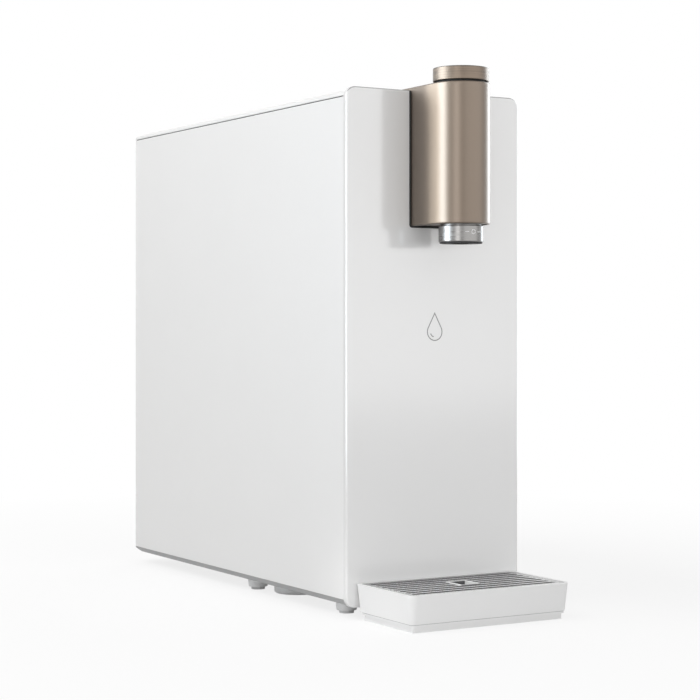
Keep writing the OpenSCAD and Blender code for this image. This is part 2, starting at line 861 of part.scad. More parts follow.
module side_panel(side) {
  ledge_y0 = y_body + clip_d + fit;
  ledge_y1 = y_back - case_r - back_flange;
  z_first = z_side + upstand_h;
  stiffeners = floor((z_deck - deck_t - ledge_h - z_first) / stiffener_pitch - 1 / 2);
  translate([0, 0, z_side]) linear_extrude(z_seam - z_side) intersection() {
    difference() {
      case_plan(0, y_body);
      case_plan(wall, y_body - cut);
    }
    translate([side * (body_w - return_w) / 2, (y_body + y_back) / 2])
      square([return_w, y_back - y_body + 2 * cut], center = true);
  }
  ledge_x = in_w / 2 - ledge_w / 2 + wall / 4;
  translate([side * ledge_x, (ledge_y0 + ledge_y1) / 2, z_deck - deck_t - ledge_h / 2])
    cube([ledge_w + wall / 2, ledge_y1 - ledge_y0, ledge_h], center = true);
  stiffener_x = in_w / 2 - stiffener_d / 2 + wall / 4;
  for (i = [1:stiffeners])
    translate([side * stiffener_x, (ledge_y0 + ledge_y1) / 2, z_first + i * stiffener_pitch])
      cube([stiffener_d + wall / 2, ledge_y1 - ledge_y0, stiffener_t], center = true);
}

module left_side_panel() {
  color("whitesmoke") side_panel(-1);
}

module right_side_panel() {
  color("whitesmoke") side_panel(1);
}

module base_pan() {
  pan_in = wall + fit + upstand_t;
  scoop_r = (base_scoop * base_scoop + base_bevel * base_bevel) / (2 * base_bevel);
  color("darkgray") difference() {
    union() {
      intersection() {
        translate([0, (y_body + y_back) / 2, foot_h]) along_y(y_back - y_body)
          lean_section(body_w, base_bevel, base_bevel);
        along_x(panel_w) {
          translate([y_body, foot_h]) square([y_back - base_scoop - y_body, base_bevel]);
          intersection() {
            translate([y_back - base_scoop, foot_h + scoop_r]) circle(scoop_r);
            translate([y_back - base_scoop, foot_h]) square([base_scoop, base_bevel]);
          }
        }
        translate([0, 0, foot_h]) linear_extrude(base_bevel) case_plan(0, y_body);
      }
      translate([0, 0, z_side - cut]) linear_extrude(upstand_h + cut)
        case_plan(wall + fit, y_body);
    }
    translate([0, 0, z_floor]) linear_extrude(base_bevel + upstand_h)
      case_plan(pan_in, y_body + upstand_t);
    at_drain() cylinder(r = plug_r + fit, h = z_side);
  }
}

module back_panel() {
  flange_span = in_w - 2 * (fit + upstand_t + fit);
  flange_z0 = z_side + upstand_h + fit;
  flange_z1 = z_deck - deck_t - ledge_h - fit;
  vent_z = z_seam - vent_drop;
  color("whitesmoke") difference() {
    union() {
      translate([-back_w / 2, y_back - wall, z_side + fit])
        cube([back_w, wall - back_in, z_seam - z_side - fit]);
      translate([-flange_span / 2, y_flange, flange_z0])
        cube([flange_span, back_flange, flange_z1 - flange_z0]);
      translate([-back_w / 2, y_flange, flange_z0])
        cube([back_w, y_back - back_in - y_flange, flange_z1 - flange_z0]);
      translate([pocket_x - pocket_w / 2, y_pocket - wall, pocket_z0])
        cube([pocket_w, pocket_d + wall - back_in, pocket_h]);
    }
    translate([pocket_x - pocket_w / 2 + wall, y_pocket, pocket_z0 + wall])
      cube([pocket_w - 2 * wall, pocket_d + cut, pocket_h - 2 * wall]);
    for (s = [-1, 1])
      translate([pocket_x + s * port_pitch / 2, 0, port_zc])
        pin_y(port_r + run, y_pocket - wall - cut, y_pocket + cut);
    translate([pocket_x, 0, gland_zc])
      pin_y(gland_r + run, y_pocket - wall - cut, y_pocket + cut);
    for (s = [-1, 1], i = [0:vent_count - 1])
      translate([s * (vent_l / 2 + vent_pitch / 2), y_back, vent_z - i * vent_pitch])
        along_y(4 * (wall + back_flange)) round_slot(vent_l, vent_w);
    translate([0, y_back, z_seam])
      along_y(4 * (wall + back_flange)) round_slot(notch_w, 2 * notch_h);
  }
}

module top_lid() {
  lid_d = y_back - y_body + 2 * case_r;
  skirt_in = wall + lid_fit;
  skirt_y = y_body + lid_fit + wall;
  rib_l = body_w - 2 * skirt_in - skirt_t;
  rib_top = z_lid - lid_t;
  ribs = floor((y_back - skirt_y) / lid_rib_pitch);
  color("whitesmoke") {
    difference() {
      union() {
        translate([0, y_back - lid_d / 2, z_rim])
          pillow_plate(body_w, lid_d, lid_edge, case_r, lid_round);
        translate([0, 0, z_deck]) linear_extrude(z_rim - z_deck + cut)
          case_plan(skirt_in, skirt_y);
      }
      translate([-panel_w, y_body + lid_fit - panel_w, z_rim - cut])
        cube([2 * panel_w, panel_w, lid_edge + 2 * cut]);
      translate([0, 0, z_deck - cut]) linear_extrude(z_lid - lid_t - z_deck + cut)
        case_plan(skirt_in + skirt_t, skirt_y + skirt_t);
      translate([-tap_r - lid_notch_fit, y_face, z_deck - cut])
        cube([2 * (tap_r + lid_notch_fit), y_arm - y_face + lid_notch_fit, z_top - z_deck]);
    }
    for (i = [1:ribs])
      translate([-rib_l / 2, skirt_y + i * lid_rib_pitch - lid_rib_t / 2, rib_top - lid_rib_h])
        cube([rib_l, lid_rib_t, lid_rib_h + lid_t / 2]);
  }
}

module filter_deck() {
  deck_y = y_body + fit;
  cap_hole = cart_r + cart_fit;
  color("lightgray") difference() {
    union() {
      translate([0, 0, z_deck - deck_t]) linear_extrude(deck_t) case_plan(wall + fit, deck_y);
      for (y = [y_ro, y_carbon])
        translate([0, y, z_deck - deck_t - lip_h])
          cylinder(r = cap_hole + lip_w, h = lip_h + deck_t / 2);
    }
    for (y = [y_ro, y_carbon])
      translate([0, y, z_deck - deck_t - lip_h - cut])
        cylinder(r = cap_hole, h = deck_t + lip_h + 2 * cut);
    translate([-tap_r - lid_notch_fit, y_face, z_deck - deck_t - cut])
      cube([2 * (tap_r + lid_notch_fit), y_arm - y_face + lid_notch_fit, deck_t + 2 * cut]);
  }
}

module chassis_plate() {
  plate_w = in_w - 2 * (ledge_w + fit);
  plate_h = z_deck - deck_t - lip_h - fit - z_floor;
  color("gainsboro") difference() {
    union() {
      translate([-plate_w / 2, y_chassis, z_floor]) cube([plate_w, plate_t, plate_h]);
      for (s = [0, 1]) mirror([s, 0, 0])
        translate([plate_w / 2 - plate_t, y_chassis - plate_fold, z_floor])
          cube([plate_t, plate_fold + plate_t, plate_h]);
    }
    translate([0, 0, z_line]) pin_y(tube_r + tube_clear, y_chassis - cut, y_chassis + plate_t + cut);
  }
}

// Places a child at every foot
module at_feet() {
  for (s = [-1, 1]) {
    for (y = [front_foot_y, middle_foot_y])
      translate([s * (panel_w / 2 - foot_in), y_face + y, 0]) children();
    translate([s * (panel_w / 2 - rear_foot_in), y_back - rear_foot_y, 0]) children();
  }
}

module foot_cups() {
  color("lightgray") at_feet() difference() {
    translate([0, 0, pad_show]) cylinder(r1 = foot_r - foot_taper, r2 = foot_r, h = foot_h - pad_show);
    cylinder(r = pad_r + run, h = pad_show + pad_seat);
  }
}

module foot_pads() {
  color("gray") at_feet() cylinder(r = pad_r, h = pad_show + pad_seat);
}

// Places a child on the drain cap's axis
module at_drain() {
  translate([cap_in - panel_w / 2, y_face + cap_y, 0]) children();
}

module drain_cap() {
  rim_z = foot_h - fit;
  color("lightgray") at_drain() difference() {
    union() {
      translate([0, 0, cap_lift]) cylinder(r1 = cap_r - cap_chamfer, r2 = cap_r, h = cap_chamfer);
      translate([0, 0, cap_lift + cap_chamfer]) cylinder(r = cap_r, h = rim_z - cap_lift - cap_chamfer);
      translate([0, 0, rim_z - cut]) cylinder(r = plug_r, h = z_floor - foot_h + cut);
    }
    translate([0, 0, rim_z])
      rotate_extrude() translate([plug_r + seal_wire + fit, 0]) circle(seal_wire);
    for (s = [-1, 1]) translate([s * (grip_bar + grip_w) / 2, 0, cap_lift - cut])
      linear_extrude(grip_d + cut) rotate(90) round_slot(grip_l, grip_w);
  }
}

module drain_cap_seal() {
  rim_z = foot_h - fit;
  color("dimgray") at_drain() intersection() {
    translate([0, 0, rim_z])
      rotate_extrude() translate([plug_r + seal_wire + fit, 0]) circle(seal_wire);
    cylinder(r = cap_r, h = rim_z);
  }
}

// Tap

module tap_shell() {
  color("tan") difference() {
    tap_sweep(y_arm) tap_half(tap_r, tap_z0, tap_z1, tap_edge);
    tap_sweep(y_arm + cut) translate([0, tap_z0 - cut])
      square([tap_r - tap_wall, tap_h - tap_wall + cut]);
    translate([0, y_tap, encoder_z1 - cut]) cylinder(r = bush_r + run, h = tap_wall + 2 * cut);
  }
}

module tap_bottom_plate() {
  color("tan") difference() {
    tap_sweep(y_arm - fit) translate([0, plate_z0])
      square([tap_r - tap_wall - fit, tap_plate_t]);
    translate([0, y_tap, plate_z0 - cut]) cylinder(r = neck_r + run, h = tap_plate_t + 2 * cut);
  }
}

module tap_bracket() {
  half = tap_r + 2 * tap_fit + bracket_leg;
  color("silver") difference() {
    translate([-half, y_body, tap_z0]) cube([2 * half, y_arm + bracket_t - y_body, bracket_h]);
    translate([-tap_r - 2 * tap_fit, y_body - cut, tap_z0 - cut])
      cube([2 * (tap_r + 2 * tap_fit), y_arm - y_body + cut, bracket_h + 2 * cut]);
    translate([0, 0, feed_z]) pin_y(tube_r + tube_clear, y_arm - cut, y_arm + bracket_t + cut);
  }
}

// Places a child on the column's axis
module at_tap() {
  translate([0, y_tap, 0]) children();
}

module nozzle_sleeve() {
  color("silver") at_tap() difference() {
    union() {
      rotate_extrude() tap_half(sleeve_r, sleeve_z0, sleeve_z1, sleeve_edge);
      translate([0, 0, sleeve_z1 - cut]) cylinder(r = neck_r, h = plate_z1 - sleeve_z1 + neck_h);
      translate([0, 0, plate_z1]) cylinder(r = neck_r + lip, h = lip);
    }
    translate([0, 0, sleeve_z0 - cut]) cylinder(r = neck_r - sleeve_wall - lip, h = tap_h);
    translate([0, 0, outlet_z0]) cylinder(r = neck_r - sleeve_wall, h = tap_h);
  }
}

module nozzle_outlet() {
  color("dimgray") at_tap() difference() {
    union() {
      rotate_extrude() tap_half(sleeve_r - rim_in, rim_z0, rim_z1, rim_edge);
      translate([0, 0, rim_z1 - run])
        cylinder(r = neck_r - sleeve_wall - lip - run, h = outlet_z0 - rim_z1 + 2 * run);
      translate([0, 0, outlet_z0]) cylinder(r = neck_r - sleeve_wall - run, h = outlet_t);
      translate([0, 0, outlet_z1]) cylinder(r = tube_r + 2 * lip, h = tube_seat + uv_t);
    }
    translate([0, 0, outlet_z0 - cut]) cylinder(r = outlet_r, h = outlet_t);
    translate([0, 0, outlet_z0]) cylinder(r1 = flare_r, r2 = outlet_r, h = flare_d);
    translate([0, 0, rim_z0 - cut]) cylinder(r = flare_r, h = outlet_z0 - rim_z0 + cut);
    translate([0, 0, outlet_z0]) cylinder(r = tube_bore, h = outlet_t + cut);
    translate([0, 0, outlet_z1]) cylinder(r = tube_r + run, h = tube_seat + uv_t + cut);
  }
}

module uv_lamp_board() {
  inner = tube_r + 2 * lip + fit;
  outer = neck_r - sleeve_wall - fit;
  color("seagreen") at_tap() difference() {
    union() {
      translate([0, 0, outlet_z1]) cylinder(r = outer, h = uv_t);
      for (i = [0:uv_count - 1]) rotate(i * 360 / uv_count)
        translate([(inner + outer) / 2, 0, outlet_z1 + uv_t + uv_lamp_h / 2])
          cube([uv_lamp, uv_lamp, uv_lamp_h + run], center = true);
    }
    translate([0, 0, outlet_z1 - cut]) cylinder(r = inner, h = uv_t + uv_lamp_h + 2 * cut);
  }
}

module tap_feed_tube() {
  color("white") tube([
    [y_heater, heater_z1 + stub_h],
    [y_heater, feed_z],
    [y_tap, feed_z],
    [y_tap, outlet_z1]
  ]);
}

module knob_bezel() {
  color("black") at_tap() translate([0, 0, tap_z1]) difference() {
    cylinder(r = bezel_r, h = bezel_z1 - tap_z1);
    translate([0, 0, -cut]) cylinder(r = hub_r + bezel_clear, h = bezel_z1 - tap_z1 + 2 * cut);
  }
}

module knob_encoder() {
  leg_x = (encoder_w - leg_w) / 2;
  color("gray") at_tap() difference() {
    union() {
      translate([-encoder_w / 2, -encoder_w / 2, encoder_z0])
        cube([encoder_w, encoder_w, encoder_h]);
      translate([0, 0, encoder_z0]) cylinder(r = bush_r, h = bush_z1 - encoder_z0);
      for (sx = [-1, 1], sy = [-1, 1])
        translate([sx * leg_x - leg_w / 2, sy * leg_x - leg_w / 2, board_z1])
          cube([leg_w, leg_w, leg_h + cut]);
    }
    translate([0, 0, encoder_z0 - cut])
      cylinder(r = shaft_r + run, h = bush_z1 - encoder_z0 + 2 * cut);
  }
}

module encoder_board() {
  color("seagreen") at_tap()
    translate([-encoder_board_w / 2, -encoder_board_d / 2, board_z1 - board_t])
      cube([encoder_board_w, encoder_board_d, board_t]);
}

module press_plunger() {
  color("black") at_tap() translate([0, 0, plunger_z0]) cylinder(r = plunger_r, h = plunger_l);
}

module knob_shaft() {
  color("silver") at_tap() translate([0, 0, plunger_z1])
    cylinder(r = shaft_r, h = hub_z1 - plunger_z1);
}

module knob_hub() {
  hub_bottom = bush_z1 + press + fit;
  color("black") at_tap() difference() {
    union() {
      translate([0, 0, hub_z0]) cylinder(r = knob_r - knob_wall - run, h = hub_t);
      translate([0, 0, hub_bottom]) cylinder(r = hub_r, h = hub_z1 - hub_bottom);
    }
    translate([0, 0, hub_bottom - cut]) cylinder(r = shaft_r, h = hub_z1 - hub_bottom + 2 * cut);
  }
}

module knob_ring() {
  color("tan") at_tap() difference() {
    rotate_extrude() tap_half(knob_r, knob_z0, knob_z1, knob_edge);
    translate([0, 0, knob_z0 - cut])
      cylinder(r = knob_r - knob_wall, h = hub_z1 - knob_z0 + cut);
    translate([0, 0, knob_z1 - lens_t]) cylinder(r = lens_r, h = lens_t + cut);
  }
}

module knob_lens() {
  color("black") at_tap() translate([0, 0, knob_z1 - lens_t])
    cylinder(r = lens_r - run, h = lens_t);
}

// Drip tray

// Block that leans in downwards, with its own radii at the front and at the rear corners
module tray_block(w, d, h, front_r, rear_r, lean) {
  lean_block(w, d, h, front_r, lean);
  translate([0, d / 4, 0]) lean_block(w, d / 2, h, rear_r, lean);
}

// Places a child at the tray's middle, at height z
module at_tray(z) {
  translate([0, y_tray, z]) children();
}

module drip_tray() {
  recess_h = tray_top - grille_z0;
  well_w = recess_w - 2 * grille_ledge;
  well_d = recess_d - 2 * grille_ledge;
  well_h = tray_h - tray_floor - recess_h;
  well_r = tray_r - tray_wall;
  step_off = 2 * (tray_draft + step_in);
  color("whitesmoke") difference() {
    union() {
      at_tray(plinth_h + step_h)
        tray_block(tray_w, tray_d, tray_h - step_h, tray_r, tray_rear_r, tray_draft);
      at_tray(plinth_h) linear_extrude(step_h + tray_floor / 2)
        round_rect(tray_w - step_off, tray_d - step_off, tray_r - tray_draft);
    }
    at_tray(grille_z0) linear_extrude(recess_h + cut) round_rect(recess_w, recess_d, grille_r);
    at_tray(plinth_h + tray_floor) lean_block(well_w, well_d, well_h + cut, well_r, well_draft);
  }
}

module tray_plinth() {
  w = tray_w - 2 * (tray_draft + plinth_in);
  y0 = y_tray - tray_d / 2 + tray_draft + plinth_in;
  y1 = y_face - plinth_back;
  color("whitesmoke") {
    translate([0, (y0 + y1) / 2, 0]) linear_extrude(plinth_h)
      round_rect(w, y1 - y0, plinth_r);
    translate([-tongue_w / 2, y1 - tray_r, (plinth_h - tongue_t) / 2])
      cube([tongue_w, y_face + tongue_l - y1 + tray_r, tongue_t]);
  }
}

module drip_grille() {
  slots = floor((grille_d - 2 * grille_border + slot_pitch - slot_w) / slot_pitch);
  slot_l = grille_w - 2 * grille_border;
  color("silver") at_tray(grille_z0) difference() {
    union() {
      linear_extrude(grille_t) difference() {
        round_rect(grille_w, grille_d, grille_r);
        for (i = [0:slots - 1])
          translate([0, (i - (slots - 1) / 2) * slot_pitch]) round_slot(slot_l, slot_w);
      }
      for (s = [-1, 1])
        translate([s * rib_x - rib_w / 2, -grille_d / 2 + grille_border, 0])
          cube([rib_w, grille_d - 2 * grille_border, rib_h]);
      translate([-collar_w / 2 - frame_w, -collar_d / 2 - frame_w, 0])
        cube([collar_w + 2 * frame_w, collar_d + 2 * frame_w, grille_t]);
    }
    translate([-collar_w / 2 - run, -collar_d / 2 - run, -cut])
      cube([collar_w + 2 * run, collar_d + 2 * run, grille_t + 2 * cut]);
  }
}

module grille_collar() {
  color("whitesmoke") at_tray(grille_z1) difference() {
    union() {
      translate([-collar_w / 2, -collar_d / 2, -collar_h])
        cube([collar_w, collar_d, collar_h + flange_t]);
      translate([-collar_w / 2 - flange_w, -collar_d / 2 - flange_w, 0])
        cube([collar_w + 2 * flange_w, collar_d + 2 * flange_w, flange_t]);
    }
    translate([-hole_w / 2, -hole_d / 2, -collar_h - cut])
      cube([hole_w, hole_d, collar_h + flange_t + 2 * cut]);
  }
}

// Filters

module filter_manifold() {
  tail_w = port_pitch + 2 * (tube_r + tube_clear);
  riser_w = port_pitch + valve_w;
  color("ivory") difference() {
    union() {
      translate([-manifold_w / 2, y_nose, z_floor])
        cube([manifold_w, y_main - y_nose, manifold_h]);
      for (y = [y_ro, y_carbon])
        translate([0, y, z_floor]) cylinder(r = socket_r + socket_wall, h = z_socket - z_floor);
      translate([pocket_x - tail_w / 2, y_carbon, z_floor])
        cube([tail_w, y_tail - y_carbon, manifold_h]);
      translate([pocket_x - riser_w / 2, y_valve + (valve_l - riser_d) / 2, z_manifold - cut])
        cube([riser_w, riser_d, port_zc - valve_w / 2 - z_manifold + cut]);
    }
    for (y = [y_ro, y_carbon])
      translate([0, y, z_socket - spigot_l - 2 * fit])
        cylinder(r = socket_r, h = spigot_l + 2 * fit + cut);
  }
}

module o_rings(y) {
  for (i = [1:2])
    translate([0, y, cart_z0 - spigot_l + i * o_ring_pitch])
      rotate_extrude() translate([socket_r - run - o_ring, 0]) circle(o_ring);
}

module cartridge(y) {
  difference() {
    translate([0, y, 0]) {
      translate([0, 0, cart_z0 - spigot_l]) cylinder(r = spigot_r, h = spigot_l + cut);
      translate([0, 0, cart_z0]) cylinder(r1 = shoulder_r, r2 = cart_r, h = cone_h);
      translate([0, 0, cart_z0 + cone_h]) cylinder(r = cart_r, h = cart_zc - cart_z0 - cone_h);
    }
    o_rings(y);
  }
}

module cartridge_cap(y) {
  translate([0, y, cart_zc]) {
    difference() {
      cylinder(r = cart_r, h = cart_cap_h);
      translate([0, 0, cart_cap_h - dish_d]) cylinder(r = cart_r - dish_rim, h = dish_d + cut);
      for (i = [0:flute_count - 1]) rotate(i * 360 / flute_count)
        translate([cart_r, 0, cart_cap_h - flute_h]) cylinder(r = flute_r, h = flute_h + cut);
    }
    translate([0, 0, cart_cap_h - dish_d - cut])
      linear_extrude(dish_d + bar_h + cut) round_slot(bar_l, bar_w);
  }
}

module ro_cartridge() {
  color("white") cartridge(y_ro);
}

module ro_cartridge_cap() {
  color("steelblue") cartridge_cap(y_ro);
}

module ro_cartridge_seals() {
  color("black") o_rings(y_ro);
}

module carbon_cartridge() {
  color("white") cartridge(y_carbon);
}

module carbon_cartridge_cap() {
  color("slategray") cartridge_cap(y_carbon);
}

module carbon_cartridge_seals() {
  color("black") o_rings(y_carbon);
}

// Heater and boards

module instant_heater() {
  color("silver") translate([0, y_heater, heater_z0]) difference() {
    union() {
      cylinder(r = heater_r, h = heater_h);
      for (z = [0, heater_h - end_t]) translate([0, 0, z]) cylinder(r = end_r, h = end_t);
      translate([0, 0, -stub_h]) cylinder(r = stub_r, h = heater_h + 2 * stub_h);
    }
    translate([0, 0, -stub_h - cut]) cylinder(r = tube_bore, h = stub_h + cut);
    translate([0, 0, heater_h]) cylinder(r = tube_bore, h = stub_h + cut);
  }
}

module heater_clamps() {
  color("gray") for (z = [heater_z0 + clamp_in, heater_z1 - clamp_in - clamp_h])
    translate([0, 0, z]) linear_extrude(clamp_h) difference() {
      union() {
        translate([0, y_heater]) circle(heater_r + run + clamp_t);
        translate([-clamp_foot / 2, y_heater]) square([clamp_foot, y_chassis - y_heater]);
      }
      translate([0, y_heater]) circle(heater_r + run);
    }
}

module heater_feed_tube() {
  color("white") tube([
    [y_nose - sensor_l, z_line],
    [y_heater, z_line],
    [y_heater, heater_z0 - stub_h]
  ]);
}

module flow_sensor() {
  color("black") translate([0, 0, z_line]) difference() {
    pin_y(sensor_r, y_nose - sensor_l, y_nose);
    pin_y(tube_bore, y_nose - sensor_l - cut, y_nose + cut);
  }
}

module control_board() {
  y_board = y_chassis - spacer_l;
  edge = 2 * spacer_r;
  parts = floor((board_h - 2 * edge) / relay_pitch);
  color("seagreen") {
    translate([board_x - board_w / 2, y_board - board_t, board_z0])
      cube([board_w, board_t, board_h]);
    for (s = [-1, 1], z = [board_z0 + edge, board_z0 + board_h - edge])
      translate([board_x + s * (board_w / 2 - edge), 0, z])
        pin_y(spacer_r, y_board - cut, y_chassis);
    for (i = [0:parts - 1]) {
      part_h = i % 2 == 0 ? relay_h : chip_h;
      translate([board_x - relay_w / 2, y_board - board_t - part_h, board_z0 + edge + i * relay_pitch])
        cube([relay_w, part_h + board_t / 2, relay_l]);
    }
  }
}

module power_supply() {
  grooves = floor((psu_h - 2 * psu_edge) / psu_pitch);
  color("silver") translate([pocket_x - psu_w / 2, y_flange - psu_d, pocket_z1 + psu_lift])
    difference() {
      cube([psu_w, psu_d, psu_h]);
      for (i = [0:grooves])
        translate([psu_edge, -cut, psu_edge + i * psu_pitch])
          cube([psu_w - 2 * psu_edge, psu_groove + cut, psu_groove]);
    }
}

// Pump and water lines

module pump_motor() {
  color("dimgray") translate([pump_x, pump_y, motor_z0]) {
    cylinder(r = motor_r - motor_step, h = motor_l);
    for (z = [0, motor_l - motor_band]) translate([0, 0, z]) cylinder(r = motor_r, h = motor_band);
    translate([0, 0, motor_l - cut]) cylinder(r = boss_r, h = boss_h + cut);
  }
}

module pump_head() {
  waist = head_w - 2 * head_step;
  color("black") translate([pump_x, pump_y, head_z0]) {
    linear_extrude(head_h) round_rect(waist, waist, head_r - head_step);
    for (z = [0, head_h - head_plate_t])
      translate([0, 0, z]) linear_extrude(head_plate_t) round_rect(head_w, head_w, head_r);
  }
}

module pump_bracket() {
  color("silver") translate([pump_x, pump_y, plate_z]) linear_extrude(pump_plate_t)
    round_rect(pump_plate, pump_plate, grommet_r);
}

module pump_grommets() {
  corner = pump_plate / 2 - grommet_r - grommet_in;
  color("black") for (sx = [-1, 1], sy = [-1, 1])
    translate([pump_x + sx * corner, pump_y + sy * corner, z_floor])
      cylinder(r = grommet_r, h = grommet_h);
}

module pump_tubes() {
  color("white") for (s = [-1, 1])
    translate([pump_x + s * pump_tube_pitch / 2, 0, 0])
      tube([[y_main, pump_line], [pump_y - head_w / 2, pump_line]]);
}

module water_valve(x) {
  z_coil = port_zc + valve_w / 2;
  translate([x, 0, 0]) {
    translate([-valve_w / 2, y_valve, port_zc - valve_w / 2]) cube([valve_w, valve_l, valve_w]);
    translate([0, y_valve + valve_l / 2, z_coil - cut]) cylinder(r = coil_r, h = coil_h + cut);
    translate([-coil_r, y_valve, z_coil - cut]) cube([2 * coil_r, yoke_t, coil_h + yoke_t + cut]);
    translate([-coil_r, y_valve, z_coil + coil_h])
      cube([2 * coil_r, valve_l / 2 + coil_r, yoke_t]);
  }
}

module inlet_valve() {
  color("white") water_valve(pocket_x - port_pitch / 2);
}

module waste_valve() {
  color("white") water_valve(pocket_x + port_pitch / 2);
}

module valve_tubes() {
  color("white") for (s = [-1, 1])
    translate([pocket_x + s * port_pitch / 2, 0, 0])
      tube([[y_fall, z_manifold], [y_fall, port_zc], [y_valve, port_zc]]);
}

// Rear entries

module water_fitting(x) {
  translate([x, 0, port_zc]) difference() {
    union() {
      pin_y(port_r, y_stub, y_mouth);
      pin_y(nut_r, y_pocket, y_pocket + nut_t);
    }
    pin_y(tube_bore, y_stub - cut, y_mouth + cut);
    pin_y(port_bore, y_mouth - collet_seat - port_depth, y_mouth + cut);
    pin_y(collet_bore, y_mouth - collet_seat, y_mouth + cut);
  }
}

module release_collet(x) {
  rim_y = y_mouth + collet_travel + fit;
  translate([x, 0, port_zc]) difference() {
    union() {
      pin_y(collet_r, y_mouth - collet_l, rim_y + collet_rim_t);
      pin_y(collet_rim_r, rim_y, rim_y + collet_rim_t);
    }
    pin_y(port_bore + run, y_mouth - collet_l - cut, rim_y + collet_rim_t + cut);
  }
}

module inlet_fitting() {
  color("white") water_fitting(pocket_x - port_pitch / 2);
}

module waste_fitting() {
  color("white") water_fitting(pocket_x + port_pitch / 2);
}

module inlet_collet() {
  color("royalblue") release_collet(pocket_x - port_pitch / 2);
}

module waste_collet() {
  color("gray") release_collet(pocket_x + port_pitch / 2);
}

module cord_gland() {
  color("black") translate([pocket_x, 0, gland_zc]) difference() {
    union() {
      pin_y(gland_r, y_pocket - wall - gland_stub, y_pocket + gland_out);
      pin_y(gland_nut_r, y_pocket, y_pocket + nut_t);
    }
    pin_y(gland_bore, y_pocket - wall - gland_stub - cut, y_pocket + gland_out + cut);
  }
}

front_panel();
left_side_panel();
right_side_panel();
back_panel();
base_pan();
top_lid();
filter_deck();
chassis_plate();
foot_cups();
foot_pads();
drain_cap();
drain_cap_seal();
tap_shell();
tap_bottom_plate();
tap_bracket();
nozzle_sleeve();
nozzle_outlet();
uv_lamp_board();
tap_feed_tube();
knob_bezel();
knob_encoder();
encoder_board();
press_plunger();
knob_shaft();
knob_hub();
knob_ring();
knob_lens();
drip_tray();
tray_plinth();
drip_grille();
grille_collar();
filter_manifold();
ro_cartridge();
ro_cartridge_cap();
ro_cartridge_seals();
carbon_cartridge();
carbon_cartridge_cap();
carbon_cartridge_seals();
pump_motor();
pump_head();
pump_bracket();
pump_grommets();
pump_tubes();
inlet_valve();
waste_valve();
valve_tubes();
flow_sensor();
heater_feed_tube();
instant_heater();
heater_clamps();
control_board();
power_supply();
inlet_fitting();
waste_fitting();
inlet_collet();
waste_collet();
cord_gland();
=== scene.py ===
"""Looks of a slim countertop water purifier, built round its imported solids.

The solids keep their shapes and places. Each sub-assembly below dresses its own solids and adds the
printed marks, strips and small screws that they carry. The studio gives them light.
"""

import logging
import math
from dataclasses import dataclass, field
from enum import Enum
from typing import ClassVar

import bmesh
import bpy
from mathutils import Matrix, Vector


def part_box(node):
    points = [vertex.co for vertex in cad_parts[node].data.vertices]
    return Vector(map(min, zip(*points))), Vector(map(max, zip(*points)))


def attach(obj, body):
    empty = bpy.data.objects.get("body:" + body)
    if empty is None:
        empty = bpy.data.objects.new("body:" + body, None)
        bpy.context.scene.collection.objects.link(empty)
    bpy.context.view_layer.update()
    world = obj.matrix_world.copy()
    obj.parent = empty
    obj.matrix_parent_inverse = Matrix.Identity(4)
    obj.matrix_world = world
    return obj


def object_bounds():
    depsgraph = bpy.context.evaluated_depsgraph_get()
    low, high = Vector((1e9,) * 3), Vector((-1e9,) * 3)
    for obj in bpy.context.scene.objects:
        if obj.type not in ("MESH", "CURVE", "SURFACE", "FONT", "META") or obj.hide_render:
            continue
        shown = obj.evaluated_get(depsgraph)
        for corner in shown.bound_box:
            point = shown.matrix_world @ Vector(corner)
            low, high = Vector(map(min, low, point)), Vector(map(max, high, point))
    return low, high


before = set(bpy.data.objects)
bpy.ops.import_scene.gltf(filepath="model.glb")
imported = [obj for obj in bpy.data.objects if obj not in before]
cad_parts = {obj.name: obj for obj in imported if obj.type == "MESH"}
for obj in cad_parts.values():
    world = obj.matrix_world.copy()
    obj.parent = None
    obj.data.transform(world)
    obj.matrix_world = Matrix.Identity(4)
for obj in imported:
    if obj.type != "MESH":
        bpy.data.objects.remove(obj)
CAD_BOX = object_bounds()
LOG = logging.getLogger("purifier_looks")
MM = 0.001
Colour = tuple[float, float, float]
Point = tuple[float, float, float]
Span = tuple[float, float]
Loop = list[tuple[float, float]]
Node = bpy.types.Node
Socket = bpy.types.NodeSocket
Tree = bpy.types.NodeTree
Shape = bmesh.types.BMesh

# Sockets of the colour Mix node
MIX_FIRST, MIX_SECOND, MIX_RESULT = 6, 7, 2
# Upward share of the normal over which the painted dark reflection on upper edges fades in, and out
# again
EDGE_FADE = 0.1
EDGE_TOP: Span = (0.95, 0.99)
# Backward share of the normal over which the painted dark reflection on the front's edges fades out
EDGE_FRONT: Span = (-0.25, -0.1)
# Range of the streak noise that is used
STREAK_SPAN: Span = (0.3, 0.7)
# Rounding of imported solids
ROUND_STEPS = 3
SHARP_ANGLE = math.radians(40)
JOIN_DISTANCE = 0.001 * MM
# Turns a shape from facing up to facing the front or the back
FACING_FRONT = Matrix.Rotation(math.pi / 2, 4, "X")
FACING_BACK = Matrix.Rotation(-math.pi / 2, 4, "X")


